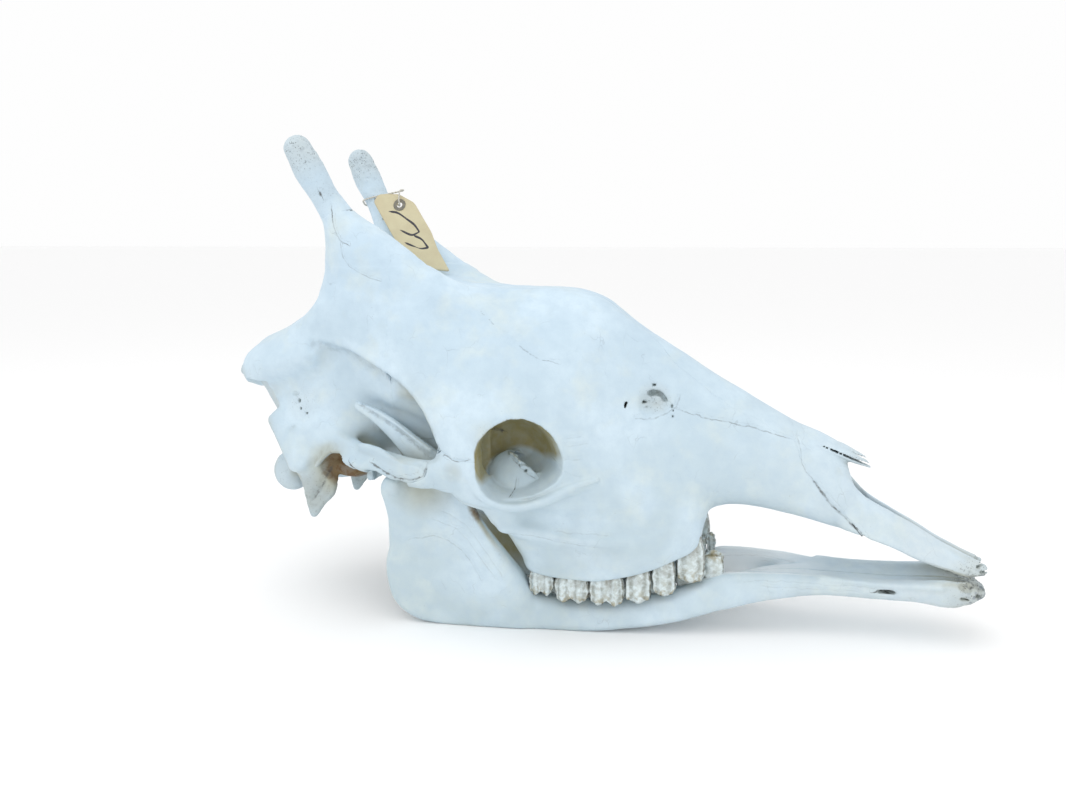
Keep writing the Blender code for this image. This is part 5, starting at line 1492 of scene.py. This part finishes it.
def bone_finish(looks):
    """Bleached bone: cool white with warm clouds and faint hairlines, painted shade towards the floor,
    grey and olive painted shade in its hollows, painted light between the jaws, brown stain in its hollows,
    and grey and pitted where it is rough."""
    paint = Finish("Bleached bone")
    hollow, rough, stain, olive, offset, ink = (paint.mark(name) for name in BONE_MARKS)
    front_share, lit_by_height = (
        paint.node("SeparateXYZ", None, {0: paint.place}, output=axis).between(*reach)
        for axis, reach in ((0, (0.11, 0.27)), (2, (0.03, 0.28)))
    )
    broad = paint.noise(52.0, 2.0).between(0.42, 0.66)
    warm = paint.noise(34.0, 3.0, 0.6, paint.shifted(3.1)).between(0.5, 0.72)
    cloud = paint.noise(9.0, 4.0, 0.6).between(0.38, 0.72)
    fine = paint.noise(1.4, 5.0, 0.65).between(0.3, 0.7)
    edges = paint.cells(21.0, "DISTANCE_TO_EDGE", paint.warped(14.0, 12.0))
    hair = (1 - edges.between(0.002, 0.012)) * paint.noise(24.0, 2.0).between(0.56, 0.68)
    pores = (1 - paint.cells(1.5).between(0.14, 0.34)) * paint.noise(5.0).between(0.45, 0.6)
    sockets = (1 - paint.cells(4.2).between(0.26, 0.46)) * rough.between(0.9, 1.4)
    specks = (1 - paint.cells(4.5).between(0.04, 0.09)) * paint.noise(14.0).between(0.56, 0.66)
    brown = stain.between(0.5, 1.0) * paint.noise(8.0, 4.0, 0.6).between(0.5, 0.68) * 0.45
    drift = paint.noise(2.2, 3.0) - 0.5
    line = (1 - (offset + drift * 2.4).math("ABSOLUTE").between(0.4, 1.3)) * ink
    line = line * (0.35 + 0.65 * paint.noise(5.0, 2.0).between(0.42, 0.56))
    colour = paint.over(
        # Painted shade: the bone darker towards the floor, lighter with height.
        looks.shaded_low_colour,
        (looks.bone_colour, lit_by_height),
        (looks.front_colour, front_share * 0.55),
        (looks.bright_colour, broad * 0.7),
        (looks.warm_colour, warm * 0.7),
        (looks.cool_colour, cloud * 0.38),
        (looks.cool_colour, (1 - fine) * 0.14),
        (looks.crack_colour, hair * 0.16),
        (looks.pit_colour, rough * 0.5),
        (looks.crack_colour, pores * rough * 0.9 + specks * 0.3),
        (looks.pore_colour, sockets * 0.8),
        # Painted light between the jaws where the hollow mark is below zero, then grey and olive painted
        # shade in the hollows.
        (looks.painted_light_colour, hollow * -1.0),
        (looks.shade_colour, hollow.between(0.22, 0.9) * 0.75),
        (looks.olive_shade_colour, olive * (0.84 + 0.2 * cloud)),
        (looks.stain_colour, brown + stain.between(0.95, 1.45) * 0.8),
        # Drawn lines: sutures and cracks, and a few lines of painted shade.
        (looks.crack_colour, line),
    )
    height = fine * 0.05 - hair * 0.12 - pores * rough * 0.6 + cloud * 0.08
    height = height - specks * 0.2 - line * 0.5 - sockets
    return paint.done(colour, 0.52 + 0.2 * fine, height, looks.relief, **{"Specular IOR Level": 0.35})


def enamel_finish(looks):
    """Tooth enamel: grey-white with lengthwise streaks, brown near the gum and in the dips, and painted
    shade in the grooves between the lobes and at the ends of the crowns."""
    paint = Finish("Tooth enamel")
    level, dip, groove = paint.mark("level"), paint.mark("dip"), paint.mark("groove")
    streaks = paint.noise(3.4, 4.0, 0.6).between(0.4, 0.62)
    fine = paint.noise(0.7, 3.0).between(0.3, 0.7)
    low = (1 - level.between(0.05, 0.45)) * paint.noise(7.0, 3.0).between(0.42, 0.62)
    tip = level.between(0.5, 1.0) * paint.noise(4.5, 3.0).between(0.46, 0.6)
    colour = paint.over(
        looks.enamel_colour,
        (looks.enamel_shade, streaks * 0.6),
        (looks.stain_colour, low * 0.6),
        (looks.dentine_colour, tip * 0.8),
        # Painted shade in the grooves between the lobes and at the crowns' ends.
        (looks.groove_shade_colour, groove.between(0.3, 0.95) * (0.35 + 0.5 * streaks)),
        (looks.dentine_colour, dip.between(0.1, 0.5) * 0.8),
        (looks.stain_colour, dip.between(0.5, 1.0) * 0.85),
    )
    return paint.done(colour, 0.32 + 0.2 * streaks, fine * 0.08 + streaks * 0.1, looks.relief)


def card_finish(looks):
    """Old manila card: pale buff with flecks of fibre and soiled edges."""
    paint = Finish("Manila card")
    edge = paint.mark("edge")
    cloud = paint.noise(14.0, 3.0).between(0.35, 0.7)
    fibre = paint.noise(0.9, 4.0, 0.7)
    colour = paint.over(
        looks.card_colour,
        (looks.card_shade, cloud * 0.6),
        (looks.card_shade, fibre.between(0.5, 0.75) * 0.4),
        (looks.ink_colour, fibre.between(0.7, 0.78) * 0.12),
        (looks.card_shade, edge.between(0.5, 1.0) * 0.8),
    )
    return paint.done(colour, 0.8 + 0.1 * fibre, fibre * 0.08, 0.6)


def ink_finish(looks):
    """Dark ink that thins where the pen ran dry."""
    paint = Finish("Marker ink")
    dry = paint.noise(3.0, 3.0).between(0.55, 0.75)
    return paint.done(paint.mixed(looks.ink_colour, looks.ink_thin, dry * 0.5), 0.5 + 0.2 * dry)


def eyelet_finish(looks):
    """A pressed fibre ring, greyed by handling."""
    paint = Finish("Fibre ring")
    cloud = paint.noise(2.0, 3.0).between(0.35, 0.7)
    return paint.done(paint.mixed(looks.eyelet_colour, looks.card_shade, cloud * 0.25), 0.7, cloud * 0.1, 0.5)


def string_finish(looks):
    """Cotton string, with painted shade between its two strands."""
    paint = Finish("Cotton string")
    groove = paint.mark("groove")
    fibre = paint.noise(0.35, 3.0, 0.7)
    # Painted shade between the strands, and darker fibres.
    strands = (looks.string_shade, groove * 0.8), (looks.string_shade, fibre.between(0.5, 0.8) * 0.5)
    colour = paint.over(looks.string_colour, *strands)
    return paint.done(colour, 0.9, fibre * 0.1, 0.8)


def turned(count):
    return 2 * np.pi * np.arange(count) / count


TOOTH_COLUMNS, WALL_ROWS, TOP_ROWS = 112, 26, 14
# How wide a crown is at each share of its height, from its root under the gum to its edge.
CROWN_SWELL = (-0.45, 0.0, 0.3, 0.8, 1.0), (0.62, 0.9, 1.0, 0.97, 0.9)


def tooth_ring(angle, lobes, upper):
    """A crown's outline as lengthwise and outward shares from -1 to 1 for each angle: a rounded
    rectangle whose cheek side has sharp styles between low ribs on an upper tooth and round lobes on a
    lower one, and whose tongue side is the other way round."""
    along, out = np.cos(angle), np.sin(angle)
    along = np.sign(along) * np.abs(along) ** 0.45
    out = np.sign(out) * np.abs(out) ** 0.55
    phase = (along + 1) * lobes / 2
    lobe = np.abs(np.sin(np.pi * phase)) ** 0.6
    style = np.abs(np.cos(np.pi * phase)) ** 9 + 0.7 * lobe**6
    cheek, tongue = (style, lobe) if upper else (lobe, style)
    share = np.clip(0.5 + 2.5 * out, 0, 1)
    raised = cheek * share + tongue * (1 - share)
    return along, out * (0.58 + 0.42 * raised), raised, lobe


def tooth_grid(table_row, upper):
    """One crown with its root: rows of the ring rise from the root, swell over the gum and reach the
    chewing edge, which rises to a cusp in each lobe, and then run inward over two crescent dips."""
    back, front, middle, gum, tip, half, lobes = table_row
    angle = turned(TOOTH_COLUMNS)[None, :]
    along, out, raised, lobe = tooth_ring(angle, lobes, upper)
    rise = np.linspace(-0.45, 1.0, WALL_ROWS)[:, None]
    swell = np.interp(rise, *CROWN_SWELL)
    inward = np.linspace(1.0, 0.06, TOP_ROWS + 1)[1:, None]
    scale = np.concatenate([swell, 0.9 * inward])
    level = np.concatenate([rise, np.ones_like(inward)])
    wide = (front - back) / 2 + 0.5
    x = (back + front) / 2 + wide * along * scale * (1 + 0 * angle)
    y = middle + half * out * scale
    outer = out * scale * (1 if upper else -1)
    cusp = CUSP * (0.9 * lobe * np.clip(0.65 + 0.5 * outer, 0, 1) - 0.45)
    share = along * scale * lobes / 2
    cell = np.abs(np.mod(share + (0.5 if lobes % 2 else 0), 1) - 0.5)
    dip = np.clip(1 - (cell / 0.3) ** 2 - ((out * scale + 0.1) / 0.34) ** 2, 0, 1)
    dip = np.where(level >= 1, dip, 0)
    top = np.clip((level - 0.55) / 0.45, 0, 1) ** 2
    high = abs(tip - gum)
    height = level * high + top * cusp - 4.0 * dip
    ridge = np.where(level >= 1, 1 - scale / 0.9, 0)
    height -= 2.2 * np.sin(np.pi * np.clip(ridge * 1.4, 0, 1)) * (level >= 1)
    z = gum + np.sign(tip - gum) * height
    grid = np.stack([x, y, z + 0 * x], -1)
    away = np.stack([along * np.ones_like(scale), out * np.ones_like(scale), 0 * x], -1)
    wrinkle = 0.4 * layered_noise(grid.reshape(-1, 3) * (1, 1, 0.35), 1.7, 2).reshape(x.shape)
    wrinkle += 1.1 * layered_noise(grid.reshape(-1, 3), 4.5, 2).reshape(x.shape)
    grid += away * (wrinkle * np.clip(level + 0.3, 0, 1))[..., None]
    # Painted shade: the crown's wall between its raised lobes and at its ends, where the teeth meet.
    shade_between = np.maximum((1 - raised) ** 1.5, np.abs(along) > 0.9) * np.ones_like(scale)
    marks = {"level": level + 0 * x, "dip": np.clip(dip + 0.8 * np.clip(ridge, 0, 0.5), 0, 1)}
    marks["groove"] = np.where(level < 1, shade_between, 0)
    return grid, marks


def add_teeth(name, node, rows, material):
    """A jaw's cheek teeth on one side, each a piece of its own."""
    side, table = rows
    for i, row in enumerate(table):
        grid, marks = tooth_grid(row, node == "maxilla")
        piece = tube_piece(f"{name}_tooth_{side}_{i + 1}", grid * (1, 1 if side == "left" else -1, 1), marks)
        finish_piece(piece, material, "bone", f"{node}_{side}")


def tag_frame():
    """The tag's own directions: down towards its tip, across, and out of its near face."""
    hole, tip = np.array(TAG_HOLE), np.array(TAG_TIP)
    down = (tip - hole) / np.linalg.norm(tip - hole)
    near = np.cross(down, TAG_ACROSS)
    near /= np.linalg.norm(near)
    return hole, down, np.cross(near, down), near


def on_tag(along, across, out=0.0):
    """Places on the tag, from its hole's middle: along towards its tip, across towards the snout and
    out from its near face. The card is bent a little about its width."""
    hole, down, side, near = tag_frame()
    bent = out + TAG_BEND * (np.asarray(along, float) / 80.0) ** 2
    along, across, bent = np.broadcast_arrays(along, across, bent)
    return hole + along[..., None] * down + across[..., None] * side + bent[..., None] * near


def tag_grid():
    """The card: at each place round its outline, a closed section that runs from the hole over the near
    face, round the edge and back over the far face."""
    rim = curved(TAG_OUTLINE, 288, 10)
    turn = np.arctan2(rim[:, 1], rim[:, 0])
    hole = TAG_HOLE_RADIUS * np.stack([np.cos(turn), np.sin(turn)], 1)
    share = np.concatenate([np.linspace(0, 1, 30) ** 0.8, np.linspace(1, 0, 30) ** 0.8])
    half = TAG_THICKNESS / 2
    lift = np.concatenate([np.full(30, half), np.full(30, -half)])
    lift[[0, 29]] *= 0.7
    lift[[30, 59]] *= 0.7
    place = hole[None] + share[:, None, None] * (rim - hole)[None]
    at = np.concatenate([place.reshape(-1, 2), np.zeros((place[..., 0].size, 1))], 1)
    warp = 0.35 * layered_noise(at, 24.0, 2).reshape(place.shape[:2])
    grid = on_tag(place[..., 0], place[..., 1], lift[:, None] - half + warp * share[:, None])
    edge = np.clip(1 - (1 - share[:, None]) * np.linalg.norm(rim - hole, axis=1)[None] / 3.0, 0, 1)
    return grid, {"edge": edge}


def eyelet_grid():
    """A ring round the hole: a rounded section carried round a circle on the near face."""
    turn, section = turned(64)[None, :], turned(20)[:, None]
    middle, half = (EYELET_RADIUS + TAG_HOLE_RADIUS) / 2, (EYELET_RADIUS - TAG_HOLE_RADIUS) / 2
    reach = middle + half * np.cos(section) + 0 * turn
    out = 0.05 + EYELET_THICKNESS / 2 * (1 + np.sin(section)) + 0 * turn
    return on_tag(reach * np.cos(turn), reach * np.sin(turn), out)


def stroke_grid(points, width):
    """A pen stroke on the tag: a flat oval section carried along a path, thinner towards its ends."""
    path = smooth_path(points, 90)
    ahead = np.gradient(path, axis=0)
    ahead /= np.linalg.norm(ahead, axis=1)[:, None]
    aside = np.stack([-ahead[:, 1], ahead[:, 0]], 1)
    share = np.linspace(0, 1, len(path))[:, None]
    wide = width / 2 * np.clip(np.minimum(share, 1 - share) * 14 + 0.25, 0, 1)
    wide = wide * (1 + 0.18 * np.sin(share * 17))
    section = turned(16)[None, :]
    along = path[:, :1] + aside[:, :1] * wide * np.cos(section)
    across = path[:, 1:] + aside[:, 1:] * wide * np.cos(section)
    return on_tag(along, across, 0.03 + 0.05 * np.sin(section) + 0 * along)


def string_line():
    """The string's middle line: round the left ossicone and through the tag's hole."""
    low, high = np.array(OSSICONE[3][:3], float), np.array(OSSICONE[1][:3], float)
    axis = (high - low) / np.linalg.norm(high - low)
    centre = np.array(OSSICONE[2][:3]) + STRING_RISE * axis
    toward = np.array(TAG_HOLE) - centre
    toward -= (toward @ axis) * axis
    toward /= np.linalg.norm(toward)
    aside = np.cross(axis, toward)
    turn = np.radians([75, 115, 150, 180, 210, 245, 285])[:, None]
    loop = centre + STRING_REACH * (np.cos(turn) * toward + np.sin(turn) * aside)
    return np.concatenate([loop, [on_tag(*place) for place in STRING_THROUGH]]), axis


def string_grid():
    """Two strands twisted together: a section like a figure eight, turned as it is carried along a
    closed curve through the points."""
    points, axis = string_line()
    count = len(points)
    t = np.linspace(0, count, 720, endpoint=False)
    i = t.astype(int)
    t = (t - i)[:, None]
    a, b, c, d = (points[(i + k) % count] for k in (-1, 0, 1, 2))
    line = b + 0.5 * t * (c - a + t * (2 * a - 5 * b + 4 * c - d + t * (3 * (b - c) + d - a)))
    ahead = np.roll(line, -1, 0) - np.roll(line, 1, 0)
    gone = np.cumsum(np.linalg.norm(ahead, axis=1)) / 2
    ahead /= np.linalg.norm(ahead, axis=1)[:, None]
    first = np.cross(ahead, axis)
    first /= np.linalg.norm(first, axis=1)[:, None]
    second = np.cross(ahead, first)
    turns = round(gone[-1] / STRING_PITCH)
    twist = np.pi * turns * gone / gone[-1]
    angle = turned(16)[None, :]
    lobe = np.abs(np.cos(angle - twist[:, None]))
    reach = STRING_RADIUS * (0.5 + 0.5 * lobe**0.7)
    ring = reach[..., None] * (
        np.cos(angle)[..., None] * first[:, None] + np.sin(angle)[..., None] * second[:, None]
    )
    return line[:, None] + ring, {"groove": 1 - lobe}


def colour_prop(name, description, default):
    return bpy.props.FloatVectorProperty(
        name=name, description=description, default=default, subtype="COLOR", size=3, min=0, max=1
    )


class SkullBoneLooks(bpy.types.PropertyGroup):
    """The colours and relief of the bones."""

    bone_colour: colour_prop("Bone", "Main colour of the bleached bone", (0.525, 0.655, 0.755))
    # Painted shade: the bone near the floor darker than higher up.
    shaded_low_colour: colour_prop("Lower bone", "Colour of the bone near the floor", (0.50, 0.60, 0.635))
    front_colour: colour_prop("Snout bone", "Colour towards the snout's tip", (0.68, 0.745, 0.775))
    bright_colour: colour_prop("Bright bone", "Colour of its brightest parts", (0.64, 0.765, 0.85))
    warm_colour: colour_prop("Warm bone", "Colour of its warmer clouds", (0.62, 0.70, 0.69))
    # Painted light: bone brightened between the jaws, where they shade it.
    painted_light_colour: colour_prop("Pale bone", "Bone bleached between the jaws", (0.92, 0.95, 0.96))
    cool_colour: colour_prop("Cool bone", "Colour of its cooler, greyer clouds", (0.43, 0.55, 0.65))
    shade_colour: colour_prop("Shaded bone", "Colour in its hollows", (0.40, 0.45, 0.44))
    # Olive painted shade in the deep hollows, under the arch and in the eye socket.
    olive_shade_colour: colour_prop("Olive stain", "Stain of the deep hollows", (0.325, 0.285, 0.13))
    pit_colour: colour_prop("Pitted bone", "Grey of the porous bone", (0.44, 0.48, 0.47))
    pore_colour: colour_prop("Large pores", "Blue grey inside the large pores", (0.20, 0.24, 0.29))
    # Also the colour of the drawn lines, a few of which are painted shade.
    crack_colour: colour_prop("Cracks", "Colour in pores and hairlines", (0.09, 0.09, 0.085))
    stain_colour: colour_prop("Stain", "Brown in the hollows", (0.145, 0.085, 0.036))
    relief: bpy.props.FloatProperty(
        name="Relief", description="Strength of the bone's fine grain", default=0.7, min=0, max=1,
        subtype="FACTOR",
    )


class SkullToothLooks(bpy.types.PropertyGroup):
    """The colours and relief of the cheek teeth."""

    enamel_colour: colour_prop("Enamel", "Light grey of the crowns", (0.70, 0.79, 0.81))
    enamel_shade: colour_prop("Enamel shade", "Darker streaks of the crowns", (0.42, 0.46, 0.42))
    dentine_colour: colour_prop("Dentine", "Colour of the worn edges' inner side", (0.30, 0.25, 0.12))
    # Painted shade in the grooves between the lobes and where neighbouring teeth meet.
    groove_shade_colour: colour_prop("Grooves", "Dark grey green between the lobes", (0.11, 0.105, 0.07))
    stain_colour: colour_prop("Stain", "Brown near the gum and in the dips", (0.12, 0.095, 0.05))
    relief: bpy.props.FloatProperty(
        name="Relief", description="Strength of the enamel's wrinkles", default=0.6, min=0, max=1,
        subtype="FACTOR",
    )


class SkullTagLooks(bpy.types.PropertyGroup):
    """The colours and sizes of the card tag and its string."""

    card_colour: colour_prop("Card", "Buff of the card", (0.61, 0.555, 0.37))
    card_shade: colour_prop("Card shade", "Darker flecks and soiled edges", (0.50, 0.43, 0.28))
    ink_colour: colour_prop("Ink", "Dark ink of the number", (0.03, 0.03, 0.04))
    ink_thin: colour_prop("Thin ink", "Ink where the pen ran dry", (0.16, 0.15, 0.14))
    eyelet_colour: colour_prop("Ring", "Colour of the ring round the hole", (0.15, 0.145, 0.125))
    string_colour: colour_prop("String", "Colour of the cotton string", (0.60, 0.58, 0.52))
    # Painted shade between the strands, and the darker fibres.
    string_shade: colour_prop("String shade", "Colour between its strands", (0.38, 0.36, 0.32))
    pen_width: bpy.props.FloatProperty(
        name="Pen width", description="Width of the number's strokes in millimetres", default=1.7,
        min=0.5, max=4,
    )


class SkullStageLooks(bpy.types.PropertyGroup):
    """The floor, the lights and the camera."""

    floor_colour: colour_prop("Floor", "Colour of the plain floor", (0.965, 0.965, 0.965))
    daylight: bpy.props.FloatProperty(
        name="Daylight", description="Strength of the light from all round", default=0.99, min=0, max=3
    )
    overhead: bpy.props.FloatProperty(
        name="Overhead light", description="Power of the large soft lamp overhead", default=7.0,
        min=0, max=500, subtype="POWER",
    )
    fill: bpy.props.FloatProperty(
        name="Fill light", description="Power of the soft lamp beside the camera", default=2.0,
        min=0, max=500, subtype="POWER",
    )
    lens: bpy.props.FloatProperty(
        name="Lens", description="Focal length on a 36 mm sensor", default=31.34, min=10, max=200,
        subtype="DISTANCE_CAMERA", unit="CAMERA",
    )


class SKULL_OT_bones(bpy.types.Operator):
    """Build every bone of the skull and the lower jaw"""

    bl_idname = "skull.bones"
    bl_label = "Bones"

    def execute(self, context):
        material = bone_finish(context.scene.skull_bones)
        for name in BONES:
            add_bone(name, material)
        return {"FINISHED"}


class SKULL_OT_teeth(bpy.types.Operator):
    """Build the cheek teeth of both jaws"""

    bl_idname = "skull.teeth"
    bl_label = "Cheek teeth"

    def execute(self, context):
        material = enamel_finish(context.scene.skull_teeth)
        for side in ("left", "right"):
            add_teeth("upper", "maxilla", (side, UPPER_TEETH), material)
        add_teeth("lower", "mandible", ("left", [*LOWER_TEETH[:-1], LEFT_STUMP]), material)
        add_teeth("lower", "mandible", ("right", LOWER_TEETH), material)
        return {"FINISHED"}


class SKULL_OT_tag(bpy.types.Operator):
    """Build the card tag with its ring and its number"""

    bl_idname = "skull.tag"
    bl_label = "Card tag"

    def execute(self, context):
        looks = context.scene.skull_tag
        card = tube_piece("tag_card", *tag_grid(), wrap=True)
        finish_piece(card, card_finish(looks), "tag_card", "specimen_tag")
        ring = tube_piece("tag_ring", eyelet_grid(), wrap=True)
        finish_piece(ring, eyelet_finish(looks), "tag_eyelet", "tag_eyelet")
        ink = ink_finish(looks)
        for i, stroke in enumerate(NUMBER_STROKES):
            piece = tube_piece(f"tag_number_{i + 1}", stroke_grid(stroke, looks.pen_width))
            finish_piece(piece, ink, "tag_card")
        return {"FINISHED"}


class SKULL_OT_string(bpy.types.Operator):
    """Build the string that ties the tag to the ossicone"""

    bl_idname = "skull.string"
    bl_label = "String"

    def execute(self, context):
        piece = tube_piece("tag_string_strands", *string_grid(), wrap=True)
        finish_piece(piece, string_finish(context.scene.skull_tag), "tag_string", "tag_string")
        return {"FINISHED"}


class SKULL_OT_stage(bpy.types.Operator):
    """Build the floor, the lights and the camera"""

    bl_idname = "skull.stage"
    bl_label = "Stage"

    def execute(self, context):
        looks = context.scene.skull_stage
        add_floor(looks)
        add_lights(context.scene, looks)
        add_camera(context.scene, looks)
        return {"FINISHED"}


STAGE_FAR = 40.0
CAMERA_PLACE = (0.129844, -0.768162, 0.315926)
CAMERA_AHEAD = (-0.22168, 0.96020, -0.16991)


def add_floor(looks):
    """A plain square floor just under the jaw."""
    corners = np.array([(-1, -1, 0), (1, -1, 0), (1, 1, 0), (-1, 1, 0)]) * STAGE_FAR / MM
    floor = new_piece("floor", corners, [(0, 1, 2, 3)])
    paint = Finish("Plain floor")
    cloud = paint.noise(120.0, 2.0) * 0.05
    floor.data.materials.append(paint.done(tuple(looks.floor_colour) + (1,), 0.85 + cloud))


def add_lights(scene, looks):
    """Even daylight, a large lamp overhead and a weaker one beside the camera."""
    world = bpy.data.worlds.new("Studio")
    world.use_nodes = True
    background = world.node_tree.nodes["Background"]
    background.inputs["Color"].default_value = (1.0, 1.0, 1.0, 1)
    background.inputs["Strength"].default_value = looks.daylight
    scene.world = world
    lamps = {
        "overhead": (looks.overhead, 1.6, (-0.35, -0.5, 1.5)),
        "fill": (looks.fill, 1.2, (0.9, -1.3, 0.7)),
    }
    for name, (power, size, place) in lamps.items():
        lamp = bpy.data.lights.new(name, "AREA")
        lamp.energy, lamp.size = power, size
        obj = bpy.data.objects.new(name, lamp)
        obj.location = place
        obj.rotation_euler = (Vector((0, 0, 0.15)) - Vector(place)).to_track_quat("-Z", "Y").to_euler()
        scene.collection.objects.link(obj)


def add_camera(scene, looks):
    """The camera at the photograph's angle."""
    ahead = Vector(CAMERA_AHEAD).normalized()
    right = ahead.cross(Vector((0, 0, 1))).normalized()
    turn = Matrix((right, right.cross(ahead), -ahead)).transposed()
    data = bpy.data.cameras.new("camera")
    data.sensor_width, data.lens = 36.0, looks.lens
    camera = bpy.data.objects.new("camera", data)
    camera.matrix_world = Matrix.Translation(CAMERA_PLACE) @ turn.to_4x4()
    scene.collection.objects.link(camera)
    scene.camera = camera
    scene.view_settings.view_transform = "Standard"


class SKULL_PT_panel(bpy.types.Panel):
    """The skull's pieces and their looks"""

    bl_idname = "SKULL_PT_panel"
    bl_label = "Giraffe skull"
    bl_space_type = "VIEW_3D"
    bl_region_type = "UI"
    bl_category = "Skull"

    def draw(self, context):
        for operator in OPERATORS:
            self.layout.operator(operator.bl_idname)
        for name, group in LOOKS.items():
            for key in group.__annotations__:
                self.layout.prop(getattr(context.scene, name), key)


LOOKS = {
    "skull_bones": SkullBoneLooks,
    "skull_teeth": SkullToothLooks,
    "skull_tag": SkullTagLooks,
    "skull_stage": SkullStageLooks,
}
OPERATORS = (SKULL_OT_stage, SKULL_OT_bones, SKULL_OT_teeth, SKULL_OT_tag, SKULL_OT_string)


def register():
    for name, group in LOOKS.items():
        bpy.utils.register_class(group)
        setattr(bpy.types.Scene, name, bpy.props.PointerProperty(type=group))
    for item in (*OPERATORS, SKULL_PT_panel):
        bpy.utils.register_class(item)


def unregister():
    for item in (SKULL_PT_panel, *OPERATORS):
        bpy.utils.unregister_class(item)
    for name, group in LOOKS.items():
        delattr(bpy.types.Scene, name)
        bpy.utils.unregister_class(group)


def main():
    register()
    bpy.ops.skull.stage()
    bpy.ops.skull.bones()
    bpy.ops.skull.teeth()
    bpy.ops.skull.tag()
    bpy.ops.skull.string()


if __name__ == "__main__":
    main()
